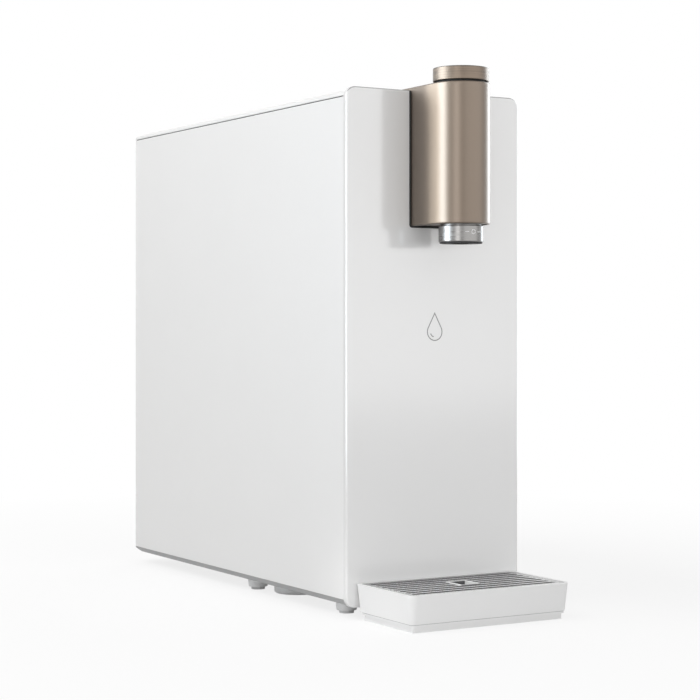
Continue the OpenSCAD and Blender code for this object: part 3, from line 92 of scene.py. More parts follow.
class NodeSheet:
    """Places and links the nodes of one shader tree."""

    def __init__(self, tree: Tree) -> None:
        """Keeps the tree that the nodes go into."""
        self.tree = tree

    def add(self, kind: str, **settings: object) -> Node:
        """Adds one node.

        Args:
            kind: Blender's name for the type of node.
            **settings: Properties to set on the node.

        Returns:
            The new node.
        """
        node = self.tree.nodes.new(kind)
        for name, value in settings.items():
            setattr(node, name, value)
        return node

    def feed(self, target: Socket, value: object) -> None:
        """Links a socket to the target, or sets the target to a plain value.

        Args:
            target: The input socket.
            value: An output socket, a number, a colour or a vector.
        """
        if isinstance(value, Socket):
            self.tree.links.new(value, target)
        elif isinstance(value, tuple) and len(value) == 3 and target.type == "RGBA":
            target.default_value = (*value, 1.0)
        else:
            target.default_value = value

    def calc(self, operation: str, *values: object) -> Socket:
        """Adds a Math node.

        Args:
            operation: The node's operation, such as MULTIPLY.
            *values: Sockets or numbers for its inputs.

        Returns:
            The node's result.
        """
        node = self.add("ShaderNodeMath", operation=operation)
        for target, value in zip(node.inputs, values):
            self.feed(target, value)
        return node.outputs[0]

    def spread(self, value: object, low: object, high: object,
               source: Span = (0.0, 1.0)) -> Socket:
        """Maps a value from one range to another, held at both ends.

        Args:
            value: The socket to map.
            low: Result at the lower end of the source range.
            high: Result at the upper end of the source range.
            source: The range that the value is read in.

        Returns:
            The mapped value.
        """
        node = self.add("ShaderNodeMapRange", clamp=True)
        for target, given in zip(node.inputs, (value, *source, low, high)):
            self.feed(target, given)
        return node.outputs[0]

    def noise(self, place: object, scale: object, detail: float) -> Socket:
        """Adds a Noise texture.

        Args:
            place: The vector socket that it is read at.
            scale: Grains for each metre, as a number or a socket.
            detail: Octaves of finer noise.

        Returns:
            The noise value, from 0 to 1.
        """
        node = self.add("ShaderNodeTexNoise")
        self.feed(node.inputs["Vector"], place)
        self.feed(node.inputs["Scale"], scale)
        node.inputs["Detail"].default_value = detail
        return node.outputs[0]

    def place(self) -> Socket:
        """Returns the place on the object, in metres."""
        return self.add("ShaderNodeTexCoord").outputs["Object"]

    def split(self, vector: Socket) -> bpy.types.bpy_prop_collection:
        """Takes a vector apart.

        Args:
            vector: The vector's socket.

        Returns:
            The sockets of its x, y and z.
        """
        node = self.add("ShaderNodeSeparateXYZ")
        self.feed(node.inputs[0], vector)
        return node.outputs

    def normal(self) -> bpy.types.bpy_prop_collection:
        """Returns the sockets of the surface normal's x, y and z."""
        return self.split(self.add("ShaderNodeNewGeometry").outputs["Normal"])

    def blend(self, share: object, first: object, second: object) -> Socket:
        """Mixes two colours.

        Args:
            share: Share of the second colour.
            first: The first colour.
            second: The second colour.

        Returns:
            The mixed colour.
        """
        node = self.add("ShaderNodeMix", data_type="RGBA")
        self.feed(node.inputs["Factor"], share)
        self.feed(node.inputs[MIX_FIRST], first)
        self.feed(node.inputs[MIX_SECOND], second)
        return node.outputs[MIX_RESULT]

    def shade(self, colour: object, share: object) -> Socket:
        """Multiplies a colour's brightness.

        Args:
            colour: The colour.
            share: What its brightness is multiplied by.

        Returns:
            The changed colour.
        """
        node = self.add("ShaderNodeHueSaturation")
        self.feed(node.inputs["Color"], colour)
        self.feed(node.inputs["Value"], share)
        return node.outputs["Color"]


class Paint(NodeSheet):
    """The nodes of one material, with its shader."""

    def __init__(self, material: bpy.types.Material) -> None:
        """Keeps the material's nodes and its Principled BSDF."""
        super().__init__(material.node_tree)
        self.shader = material.node_tree.nodes["Principled BSDF"]

    def put(self, socket: str, value: object) -> None:
        """Feeds one of the shader's sockets, given by its name."""
        self.feed(self.shader.inputs[socket], value)

    def fed(self, socket: str) -> Socket:
        """Returns the output that feeds one of the shader's sockets."""
        return self.shader.inputs[socket].links[0].from_socket

    def bump(self, height: Socket, depth: float) -> None:
        """Raises the surface by a height.

        Args:
            height: Height from 0 to 1.
            depth: Metres from 0 to 1.
        """
        node = self.add("ShaderNodeBump")
        node.inputs["Strength"].default_value = 1.0
        node.inputs["Distance"].default_value = depth
        self.feed(node.inputs["Height"], height)
        self.put("Normal", node.outputs["Normal"])

    def deepen(self, share: Socket) -> None:
        """Deepens the shader's colour to a share of its brightness."""
        self.put("Base Color", self.shade(self.fed("Base Color"), share))

    def paint_dark_reflection(self, tone: float, start: float, front: bool) -> None:
        """Paints a dark reflection on the rounding of upper edges, as a thin line.

        Args:
            tone: Share of the brightness that stays there.
            start: Upward share of the normal where the line starts.
            front: Whether only the front's edges have the line.
        """
        _, back, up = self.normal()
        rise = self.spread(up, 0.0, 1.0, (start, start + EDGE_FADE))
        fall = self.spread(up, 1.0, 0.0, EDGE_TOP)
        line = self.calc("MULTIPLY", rise, fall)
        if front:
            line = self.calc("MULTIPLY", line, self.spread(back, 1.0, 0.0, EDGE_FRONT))
        self.deepen(self.spread(line, 1.0, tone))


class Effect(Enum):
    """Surface effects that several finishes share."""

    MOULD_GRAIN = "mould_grain"
    TONE_DRIFT = "tone_drift"
    TURNED_RINGS = "turned_rings"
    HANDLING_FILM = "handling_film"


class EffectLibrary:
    """Builds each shared effect once, as a shader node group."""

    def __init__(self) -> None:
        """Starts with no group made."""
        self._made: dict[Effect, Tree] = {}

    def use(self, sheet: NodeSheet, effect: Effect, **values: object) -> Node:
        """Places an effect in a material with its own values.

        Args:
            sheet: The material's nodes.
            effect: The effect to place.
            **values: Its inputs by name.

        Returns:
            The group node.
        """
        if effect not in self._made:
            self._made[effect] = getattr(self, f"_{effect.value}")()
        node = sheet.add("ShaderNodeGroup", node_tree=self._made[effect])
        for name, value in values.items():
            sheet.feed(node.inputs[name], value)
        return node

    @staticmethod
    def _blank(name: str, inputs: dict[str, str], outputs: dict[str, str],
               ) -> tuple[NodeSheet, Node, Node]:
        """Makes an empty group.

        Args:
            name: The group's name.
            inputs: Socket type of each input.
            outputs: Socket type of each output.

        Returns:
            The group's nodes, its input node and its output node.
        """
        tree = bpy.data.node_groups.new(name, "ShaderNodeTree")
        for side, sockets in (("INPUT", inputs), ("OUTPUT", outputs)):
            for label, kind in sockets.items():
                tree.interface.new_socket(label, in_out=side, socket_type=f"NodeSocket{kind}")
        sheet = NodeSheet(tree)
        return sheet, sheet.add("NodeGroupInput"), sheet.add("NodeGroupOutput")

    def _mould_grain(self) -> Tree:
        """Fine etched grain of a moulded surface.

        Returns:
            A group with a Height and a Mask, both from 0 to 1.
        """
        fine_share, pit_share, coarse_scale, mask_span = 0.6, 0.4, 0.31, (0.35, 0.65)
        sheet, given, result = self._blank(
            "mould_grain", {"Scale": "Float"}, {"Height": "Float", "Mask": "Float"})
        place, scale = sheet.place(), given.outputs["Scale"]
        fine = sheet.noise(place, scale, 2.0)
        coarse = sheet.noise(place, sheet.calc("MULTIPLY", scale, coarse_scale), 1.0)
        pits = sheet.add("ShaderNodeTexVoronoi", feature="SMOOTH_F1")
        sheet.feed(pits.inputs["Vector"], place)
        sheet.feed(pits.inputs["Scale"], scale)
        mixed = sheet.calc("ADD", sheet.calc("MULTIPLY", fine, fine_share),
                           sheet.calc("MULTIPLY", pits.outputs["Distance"], pit_share))
        sheet.feed(result.inputs["Height"], mixed)
        sheet.feed(result.inputs["Mask"], sheet.spread(coarse, 0.0, 1.0, mask_span))
        return sheet.tree

    def _tone_drift(self) -> Tree:
        """Slow change of brightness over a surface.

        Returns:
            A group that gives the colour back, a little lighter or darker.
        """
        sheet, given, result = self._blank(
            "tone_drift", {"Colour": "Color", "Amount": "Float", "Scale": "Float"},
            {"Colour": "Color"})
        wander = sheet.noise(sheet.place(), given.outputs["Scale"], 3.0)
        centred = sheet.calc("MULTIPLY", sheet.calc("SUBTRACT", wander, 0.5), 2.0)
        share = sheet.calc("ADD", sheet.calc("MULTIPLY", centred, given.outputs["Amount"]), 1.0)
        sheet.feed(result.inputs["Colour"], sheet.shade(given.outputs["Colour"], share))
        return sheet.tree

    def _turned_rings(self) -> Tree:
        """Fine rings that a lathe leaves round an upright axis.

        Returns:
            A group with a Height for bumps and a slower Streak, both from 0 to 1.
        """
        angle_stretch, streak_scale = 1.7, 0.27
        sheet, given, result = self._blank(
            "turned_rings", {"Axis": "Vector", "Scale": "Float"},
            {"Height": "Float", "Streak": "Float"})
        shift = sheet.add("ShaderNodeVectorMath", operation="SUBTRACT")
        sheet.feed(shift.inputs[0], sheet.place())
        sheet.feed(shift.inputs[1], given.outputs["Axis"])
        x, y, z = sheet.split(shift.outputs[0])
        flat = sheet.add("ShaderNodeCombineXYZ")
        sheet.feed(flat.inputs[0], x)
        sheet.feed(flat.inputs[1], y)
        reach = sheet.add("ShaderNodeVectorMath", operation="LENGTH")
        sheet.feed(reach.inputs[0], flat.outputs[0])
        angle = sheet.calc("ARCTAN2", y, x)
        rings, scale = sheet.add("ShaderNodeCombineXYZ"), given.outputs["Scale"]
        stretched = ((reach.outputs["Value"], scale), (z, scale), (angle, angle_stretch))
        for target, (value, factor) in zip(rings.inputs, stretched):
            sheet.feed(target, sheet.calc("MULTIPLY", value, factor))
        sheet.feed(result.inputs["Height"], sheet.noise(rings.outputs[0], 1.0, 3.0))
        sheet.feed(result.inputs["Streak"], sheet.noise(rings.outputs[0], streak_scale, 2.0))
        return sheet.tree

    def _handling_film(self) -> Tree:
        """Faint film that dulls a glossy surface here and there.

        Returns:
            A group with a Roughness between Low and High.
        """
        cloud_span = (0.35, 0.7)
        sheet, given, result = self._blank(
            "handling_film", {"Scale": "Float", "Low": "Float", "High": "Float"},
            {"Roughness": "Float"})
        cloud = sheet.noise(sheet.place(), given.outputs["Scale"], 4.0)
        film = sheet.spread(cloud, given.outputs["Low"], given.outputs["High"], cloud_span)
        sheet.feed(result.inputs["Roughness"], film)
        return sheet.tree


EFFECTS = EffectLibrary()


@dataclass(frozen=True)
class Finish:
    """A colour and a roughness, which every kind of finish has."""

    name: str
    colour: Colour  # linear red, green and blue
    roughness: float
    drift: float = 0.012  # share by which the tone changes
    drift_scale: float = 14.0  # changes of tone for each metre
    play: float = 0.04  # how far the roughness goes to either side

    def material(self) -> bpy.types.Material:
        """Gets the material of this finish, which is made on first use.

        Returns:
            The material.
        """
        label = f"{self.name}_finish"
        made = bpy.data.materials.get(label)
        if made is None:
            made = bpy.data.materials.new(label)
            made.use_nodes = True
            made.diffuse_color = (*self.colour, 1.0)
            self.surface(Paint(made))
        return made

    def surface(self, paint: Paint) -> None:
        """Sets the shader's sockets.

        Args:
            paint: The material's nodes.
        """
        raise NotImplementedError

    def tint(self, paint: Paint) -> None:
        """Feeds the finish's colour to the shader, drifting a little."""
        drift = EFFECTS.use(paint, Effect.TONE_DRIFT, Colour=self.colour, Amount=self.drift,
                            Scale=self.drift_scale)
        paint.put("Base Color", drift.outputs["Colour"])

    def etch(self, paint: Paint, scale: float, depth: float) -> None:
        """Gives the surface a fine grain, and a roughness that drifts.

        Args:
            paint: The material's nodes.
            scale: Grains for each metre.
            depth: Height of the grain in metres.
        """
        grain = EFFECTS.use(paint, Effect.MOULD_GRAIN, Scale=scale)
        rough = paint.spread(grain.outputs["Mask"], self.roughness - self.play,
                             self.roughness + self.play)
        paint.put("Roughness", rough)
        paint.bump(grain.outputs["Height"], depth)


@dataclass(frozen=True)
class MouldedPlastic(Finish):
    """Plastic or rubber with an etched grain from its mould."""

    grain_scale: float = 2400.0  # grains for each metre
    grain_depth: float = 0.012 * MM  # height of the grain in metres

    def surface(self, paint: Paint) -> None:
        """Sets a drifting tone and a grain."""
        self.tint(paint)
        self.etch(paint, self.grain_scale, self.grain_depth)


@dataclass(frozen=True)
class GlossPlastic(Finish):
    """Polished or lacquered plastic, with a slight waviness and a faint film."""

    drift: float = 0.006
    drift_scale: float = 9.0
    film: float = 0.05  # how much the film raises the roughness at most
    film_scale: float = 26.0  # patches of film for each metre
    wave_scale: float = 320.0  # waves in the lacquer for each metre
    wave_depth: float = 0.004 * MM  # height of these waves in metres
    ior: float = 1.5  # index of refraction, which sets how strongly it mirrors
    dark_reflection_tone: float = 1.0  # share of the brightness that stays under the painted dark reflection on the rounding of upper front edges
    edge_start: float = 0.4  # upward share of the normal where that rounding starts

    def surface(self, paint: Paint) -> None:
        """Sets a nearly even colour, a film and a wavy lacquer.

        Args:
            paint: The material's nodes.
        """
        paint.put("IOR", self.ior)
        self.tint(paint)
        paint.paint_dark_reflection(self.dark_reflection_tone, self.edge_start, True)
        film = EFFECTS.use(paint, Effect.HANDLING_FILM, Scale=self.film_scale, Low=self.roughness,
                           High=self.roughness + self.film)
        paint.put("Roughness", film.outputs["Roughness"])
        waves = paint.noise(paint.place(), self.wave_scale, 1.0)
        paint.bump(waves, self.wave_depth)


@dataclass(frozen=True)
class SatinMetal(Finish):
    """Bead-blasted and anodised or plated metal."""

    drift: float = 0.02
    drift_scale: float = 22.0
    play: float = 0.03
    bead_scale: float = 5200.0  # pits for each metre
    bead_depth: float = 0.006 * MM  # depth of the pits in metres
    metallic: float = 1.0  # how metallic its sheen is, from 0 to 1
    sealed: float = 0.0  # share of clear sealer over the metal
    seal_rough: float = 0.8  # roughness of the sealer as a share of the metal's

    def surface(self, paint: Paint) -> None:
        """Sets a metal with a fine pitted grain.

        Args:
            paint: The material's nodes.
        """
        paint.put("Metallic", self.metallic)
        paint.put("Coat Weight", self.sealed)
        paint.put("Coat Roughness", self.roughness * self.seal_rough)
        self.tint(paint)
        self.etch(paint, self.bead_scale, self.bead_depth)


@dataclass(frozen=True)
class CrownedMetal(SatinMetal):
    """Satin metal whose flat sides shade softly into the rounded front."""

    # Y and slope at each place where the slope of the sides changes its course
    roll: tuple[Span, ...] = ((-0.18, 0.0), (-0.191, 0.19), (-0.2, 0.22), (-0.208, 0.0))

    def surface(self, paint: Paint) -> None:
        """Adds the roll of the sides to the grain of satin metal.

        Args:
            paint: The material's nodes.
        """
        super().surface(paint)
        y = paint.split(paint.place())[1]
        rates = [(after[1] - before[1]) / (before[0] - after[0])
                 for before, after in zip(self.roll, self.roll[1:])]
        height = 0.0
        for (start, _), before, after in zip(self.roll, (0.0, *rates), (*rates, 0.0)):
            past = paint.calc("MAXIMUM", paint.calc("SUBTRACT", start, y), 0.0)
            bend = paint.calc("MULTIPLY", paint.calc("POWER", past, 2.0), (before - after) / 2)
            height = paint.calc("ADD", height, bend)
        grain = paint.fed("Normal").node
        roll = paint.add("ShaderNodeBump")
        roll.inputs["Distance"].default_value = 1.0
        paint.feed(roll.inputs["Height"], height)
        paint.feed(grain.inputs["Normal"], roll.outputs["Normal"])


@dataclass(frozen=True)
class SlottedMetal(SatinMetal):
    """Slotted metal with painted shade on its cut edges and towards its rear, which leaves them darker
    than its upper face.
    """

    metallic: float = 0.2
    side_shade_colour: Colour = (0.1, 0.1, 0.1)
    face_span: Span = (0.6, 0.95)  # upward share of the normal, from the cut edges with painted shade to the upper face
    rear_shade_tone: float = 0.42  # share of the brightness that stays at the rear, under the painted shade
    rear_shade_span: Span = (-0.2, -0.172)  # Y where the painted shade starts, and where it is deepest

    def surface(self, paint: Paint) -> None:
        """Paints shade towards the rear, and on what doesn't face up.

        Args:
            paint: The material's nodes.
        """
        super().surface(paint)
        y = paint.split(paint.place())[1]
        # Painted shade: the colour darkens towards the rear, next to the front panel
        paint.deepen(paint.spread(y, 1.0, self.rear_shade_tone, self.rear_shade_span))
        # Painted shade: faces that don't face up take the darker side colour
        upward = paint.spread(paint.normal()[2], 0.0, 1.0, self.face_span)
        paint.put("Base Color", paint.blend(upward, self.side_shade_colour, paint.fed("Base Color")))


@dataclass(frozen=True)
class ShadedWallPlastic(MouldedPlastic):
    """Moulded plastic with painted shade on walls that face the front."""

    wall_shade_colour: Colour = (0.1, 0.1, 0.1)
    wall_span: Span = (-0.9, -0.6)  # backward share of the normal, from these walls to the others

    def surface(self, paint: Paint) -> None:
        """Paints shade on the walls that face the front.

        Args:
            paint: The material's nodes.
        """
        super().surface(paint)
        # Painted shade on the walls that face the front
        wall_shade_mask = paint.spread(paint.normal()[1], 1.0, 0.0, self.wall_span)
        paint.put("Base Color", paint.blend(wall_shade_mask, paint.fed("Base Color"), self.wall_shade_colour))


@dataclass(frozen=True)
class TurnedMetal(Finish):
    """Metal turned on a lathe, with fine rings round an upright axis."""

    axis: Point = (0.0, 0.0, 0.0)
    ring_scale: float = 5000.0  # rings for each metre
    ring_depth: float = 0.012 * MM  # depth of the rings in metres
    ring_tone: float = 0.06  # share by which the rings change the tone
    ring_gloss: Span = (-0.05, 0.07)  # least and greatest change of the roughness along the rings
    sealed: float = 0.0  # share of clear sealer over the metal
    dark_reflection_tone: float = 1.0  # share of the brightness that stays under the painted dark reflection on the rounding of upper edges
    edge_start: float = 0.1  # upward share of the normal where that rounding starts

    def surface(self, paint: Paint) -> None:
        """Sets a metal whose tone, gloss and height follow the rings.

        Args:
            paint: The material's nodes.
        """
        paint.put("Metallic", 1.0)
        paint.put("Coat Weight", self.sealed)
        paint.put("Coat Roughness", self.roughness)
        rings = EFFECTS.use(paint, Effect.TURNED_RINGS, Axis=self.axis, Scale=self.ring_scale)
        streak = rings.outputs["Streak"]
        share = paint.spread(streak, 1 - self.ring_tone, 1 + self.ring_tone, STREAK_SPAN)
        paint.put("Base Color", paint.shade(self.colour, share))
        paint.paint_dark_reflection(self.dark_reflection_tone, self.edge_start, False)
        low, high = (self.roughness + change for change in self.ring_gloss)
        paint.put("Roughness", paint.spread(streak, low, high, STREAK_SPAN))
        paint.bump(rings.outputs["Height"], self.ring_depth)


@dataclass(frozen=True)
class CircuitBoard(Finish):
    """Solder mask over copper tracks."""

    track_colour: Colour = (0.10, 0.40, 0.20)  # colour where a track runs under the mask
    track_scale: float = 420.0  # track cells for each metre
    track_wander: float = 0.7  # how far the cells are from an even grid, from 0 to 1
    track_span: Span = (0.05, 0.09)  # distance from a cell's edge, in cells, over which a track ends
    track_gloss: float = 0.1  # how much smoother a track is
    track_rise: float = 0.03 * MM  # height of a track in metres

    def surface(self, paint: Paint) -> None:
        """Sets tracks between cells, a little raised.

        Args:
            paint: The material's nodes.
        """
        cells = paint.add("ShaderNodeTexVoronoi", feature="DISTANCE_TO_EDGE")
        paint.feed(cells.inputs["Vector"], paint.place())
        cells.inputs["Scale"].default_value = self.track_scale
        cells.inputs["Randomness"].default_value = self.track_wander
        track = paint.spread(cells.outputs["Distance"], 1.0, 0.0, self.track_span)
        paint.put("Base Color", paint.blend(track, self.colour, self.track_colour))
        rough = paint.spread(track, self.roughness, self.roughness - self.track_gloss)
        paint.put("Roughness", rough)
        paint.bump(track, self.track_rise)


class Shelf:
    """The finishes of this purifier."""

    tap_axis: Point = (0.0, -0.2, 0.0)
    tap_colour: Colour = (0.141, 0.107, 0.079)
    # Panel with a painted dark reflection along its upper front edges
    panel_white = GlossPlastic("panel_white", (0.84, 0.84, 0.838), 0.11, film=0.03, ior=1.9,
                               dark_reflection_tone=0.35)
    case_white = MouldedPlastic("case_white", (0.846, 0.84, 0.832), 0.42)
    tray_white = MouldedPlastic("tray_white", (0.84, 0.84, 0.838), 0.34, grain_scale=3000.0)
    base_grey = MouldedPlastic("base_grey", (0.45, 0.45, 0.45), 0.5)
    foot_grey = MouldedPlastic("foot_grey", (0.86, 0.86, 0.86), 0.5)
    pad_rubber = MouldedPlastic("pad_rubber", (0.7, 0.7, 0.7), 0.85, grain_depth=0.03 * MM)
    champagne = CrownedMetal("champagne", tap_colour, 0.42, bead_depth=0.001 * MM, sealed=0.9)
    plate_champagne = SatinMetal("plate_champagne", tap_colour, 0.42, bead_depth=0.001 * MM,
                                 sealed=0.9)
    # Knob with a painted dark reflection along its upper edges
    knob_champagne = TurnedMetal("knob_champagne", tap_colour, 0.42, axis=tap_axis, sealed=0.7,
                                 ring_scale=2600.0, ring_depth=0.004 * MM, ring_tone=0.24,
                                 dark_reflection_tone=0.15)
    spout_silver = TurnedMetal("spout_silver", (0.217, 0.212, 0.207), 0.3, axis=tap_axis,
                               ring_depth=0.002 * MM)
    black = MouldedPlastic("black_plastic", (0.028, 0.028, 0.028), 0.45)
    gap_black = MouldedPlastic("gap_black", (0.01, 0.01, 0.01), 0.75)
    lens = GlossPlastic("smoked_lens", (0.012, 0.012, 0.013), 0.06, film=0.04)
    # Grille with painted shade on its slot sides and towards its rear
    grille_grey = SlottedMetal("grille_grey", (0.5, 0.5, 0.5), 0.28, side_shade_colour=(0.16, 0.16, 0.16))
    # Collar whose hole has painted shade on the wall that faces the front
    collar_white = ShadedWallPlastic("collar_white", (0.84, 0.84, 0.838), 0.34, grain_scale=3000.0)
    filter_white = GlossPlastic("filter_white", (0.84, 0.85, 0.86), 0.28)
    cap_blue = MouldedPlastic("cap_blue", (0.05, 0.17, 0.36), 0.44)
    cap_slate = MouldedPlastic("cap_slate", (0.12, 0.15, 0.18), 0.44)
    seal_black = MouldedPlastic("seal_black", (0.02, 0.02, 0.02), 0.6)
    ivory = MouldedPlastic("manifold_ivory", (0.76, 0.73, 0.64), 0.46)
    sheet_steel = SatinMetal("sheet_steel", (0.56, 0.57, 0.58), 0.36, bead_scale=900.0)
    drawn_steel = SatinMetal("drawn_steel", (0.60, 0.60, 0.60), 0.22)
    motor_dark = MouldedPlastic("motor_dark", (0.03, 0.03, 0.033), 0.35)
    tube_white = GlossPlastic("tube_white", (0.78, 0.80, 0.82), 0.3)
    board_green = CircuitBoard("board_green", (0.02, 0.16, 0.07), 0.35)
    collet_blue = GlossPlastic("collet_blue", (0.03, 0.12, 0.45), 0.22)
    collet_grey = GlossPlastic("collet_grey", (0.22, 0.23, 0.24), 0.24)
    ink_grey = MouldedPlastic("ink_grey", (0.25, 0.25, 0.25), 0.5, grain_depth=0.002 * MM)
    ink_white = MouldedPlastic("ink_white", (0.8, 0.8, 0.8), 0.5, grain_depth=0.002 * MM)


def dress(node: str, finish: Finish) -> None:
    """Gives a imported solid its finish.

    Args:
        node: The solid's name.
        finish: Its finish.
    """
    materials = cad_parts[node].data.materials
    materials.clear()
    materials.append(finish.material())
    LOG.info("dressed %s in %s", node, finish.name)


def soften(node: str, width_mm: float) -> None:
    """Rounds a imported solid's sharp edges a little, without touching its mesh.

    Args:
        node: The solid's name.
        width_mm: Width of the rounding in millimetres.
    """
    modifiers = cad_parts[node].modifiers
    modifiers.new("joined_edges", "WELD").merge_threshold = JOIN_DISTANCE
    bevel = modifiers.new("soft_edges", "BEVEL")
    bevel.width = width_mm * MM
    bevel.segments = ROUND_STEPS
    bevel.limit_method = "ANGLE"
    bevel.angle_limit = SHARP_ANGLE
    bevel.use_clamp_overlap = True
    bevel.harden_normals = True


def add_piece(name: str, shape: Shape, body: str, finish: Finish,
              place: Matrix) -> None:
    """Makes an object from a built shape and lets it ride on a body.

    Args:
        name: The piece's name.
        shape: Its shape, which is used up.
        body: The body that it moves with.
        finish: Its finish.
        place: Where it goes.
    """
    shape.transform(place)
    bmesh.ops.recalc_face_normals(shape, faces=shape.faces)
    mesh = bpy.data.meshes.new(name)
    shape.to_mesh(mesh)
    shape.free()
    mesh.materials.append(finish.material())
    piece = bpy.data.objects.new(name, mesh)
    bpy.context.scene.collection.objects.link(piece)
    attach(piece, body)
    LOG.info("made %s on %s", name, body)


def spot(radius: float, angle: float) -> tuple[float, float]:
    """Returns the point of a circle round the origin at an angle in degrees."""
    turn = math.radians(angle)
    return radius * math.cos(turn), radius * math.sin(turn)


def arc(radius: float, start: float, stop: float, steps: int, middle: Span = (0.0, 0.0)) -> Loop:
    """Lists points along a circle.

    Args:
        radius: Radius of the circle.
        start: First angle in degrees.
        stop: Last angle in degrees.
        steps: Number of stretches between points.
        middle: The circle's middle.

    Returns:
        The points.
    """
    points = (spot(radius, start + (stop - start) * i / steps) for i in range(steps + 1))
    return [(middle[0] + x, middle[1] + y) for x, y in points]


def band(outer: Loop, inner: Loop, thick: float, closed: bool = False) -> Shape:
    """Builds a flat band between two lines with as many points, raised from z = 0.

    Args:
        outer: Points of one line.
        inner: Points of the other line.
        thick: Height of the band.
        closed: Whether the band joins its own start.

    Returns:
        The band's shape.
    """
    shape = bmesh.new()
    rings = [[shape.verts.new((x, y, z)) for x, y in line]
             for line, z in ((outer, 0.0), (outer, thick), (inner, thick), (inner, 0.0))]
    count = len(outer)
    for i in range(count if closed else count - 1):
        j = (i + 1) % count
        for ring, after in zip(rings, [*rings[1:], rings[0]]):
            shape.faces.new((ring[i], ring[j], after[j], after[i]))
    if not closed:
        for end in (0, -1):
            shape.faces.new([ring[end] for ring in rings])
    return shape


def lathe(profile: Loop, steps: int) -> Shape:
    """Turns a profile of radius and height round Z.

    Args:
        profile: Points from the lower middle to the upper middle, both on the axis.
        steps: Stretches round the axis.

    Returns:
        The turned shape.
    """
    shape = bmesh.new()
    poles = [shape.verts.new((0.0, 0.0, z)) for _, z in (profile[0], profile[-1])]
    rings = [[shape.verts.new((*spot(r, 360 * i / steps), z)) for i in range(steps)]
             for r, z in profile[1:-1]]
    for i in range(steps):
        j = (i + 1) % steps
        for ring, after in zip(rings, rings[1:]):
            shape.faces.new((ring[i], ring[j], after[j], after[i]))
        for pole, ring in zip(poles, (rings[0], rings[-1])):
            shape.faces.new((pole, ring[i], ring[j]))
    return shape


@dataclass
class Fastener:
    """A small pan-head screw with a cross recess."""

    head_radius: float = 3.4 * MM
    head_height: float = 1.1 * MM
    rib_width: float = 1.0 * MM
    sink: float = 0.4 * MM  # how deep the head goes into its seat, in metres
    rim_share: float = 0.35  # height of the head's rim as a share of the head's
    recess_share: float = 0.56  # radius of the recess as a share of the head's
    taper: float = 0.9  # radius of the recess's floor as a share of its mouth's
    floor_share: float = 0.45  # height of the recess's floor as a share of the head's

    def add(self, name: str, body: str, place: Matrix) -> None:
        """Adds one screw.

        Args:
            name: The piece's name.
            body: The body that it holds to.
            place: Its place, with the head along +Z.
        """
        crown = [(self.head_radius * x, self.head_height * (self.rim_share + (1 - self.rim_share) * y))
                 for x, y in arc(1.0, 0, 72, 4)]
        recess_r, recess_z = self.recess_share * self.head_radius, self.floor_share * self.head_height
        profile = [(0.0, -self.sink), (self.head_radius, -self.sink), *crown,
                   (recess_r, self.head_height), (recess_r * self.taper, recess_z), (0.0, recess_z)]
        shape = lathe(profile, 32)
        size = Matrix.Diagonal((self.rib_width, 2 * recess_r, self.head_height - recess_z, 1.0))
        lift = Matrix.Translation((0, 0, recess_z / 2))
        for angle in (0, 90):
            rib = bmesh.ops.create_cube(shape, size=1.0)["verts"]
            turn = Matrix.Rotation(math.radians(angle), 4, "Z")
            bmesh.ops.transform(shape, verts=rib, matrix=turn @ lift @ size)
        add_piece(name, shape, body, Shelf.drawn_steel, place)


@dataclass
class Assembly:
    """A sub-assembly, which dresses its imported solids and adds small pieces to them."""

    finishes: ClassVar[dict[str, Finish]] = {}
    # Edge rounding of some solids, in millimetres
    rounding: dict[str, float] = field(default_factory=dict)

    def build(self) -> None:
        """Dresses the solids, rounds their edges and adds the small pieces."""
        for node, finish in self.finishes.items():
            dress(node, finish)
        for node, width in self.rounding.items():
            soften(node, width)
        self.add_pieces()

    def add_pieces(self) -> None:
        """Adds nothing, unless a sub-assembly has pieces of its own."""


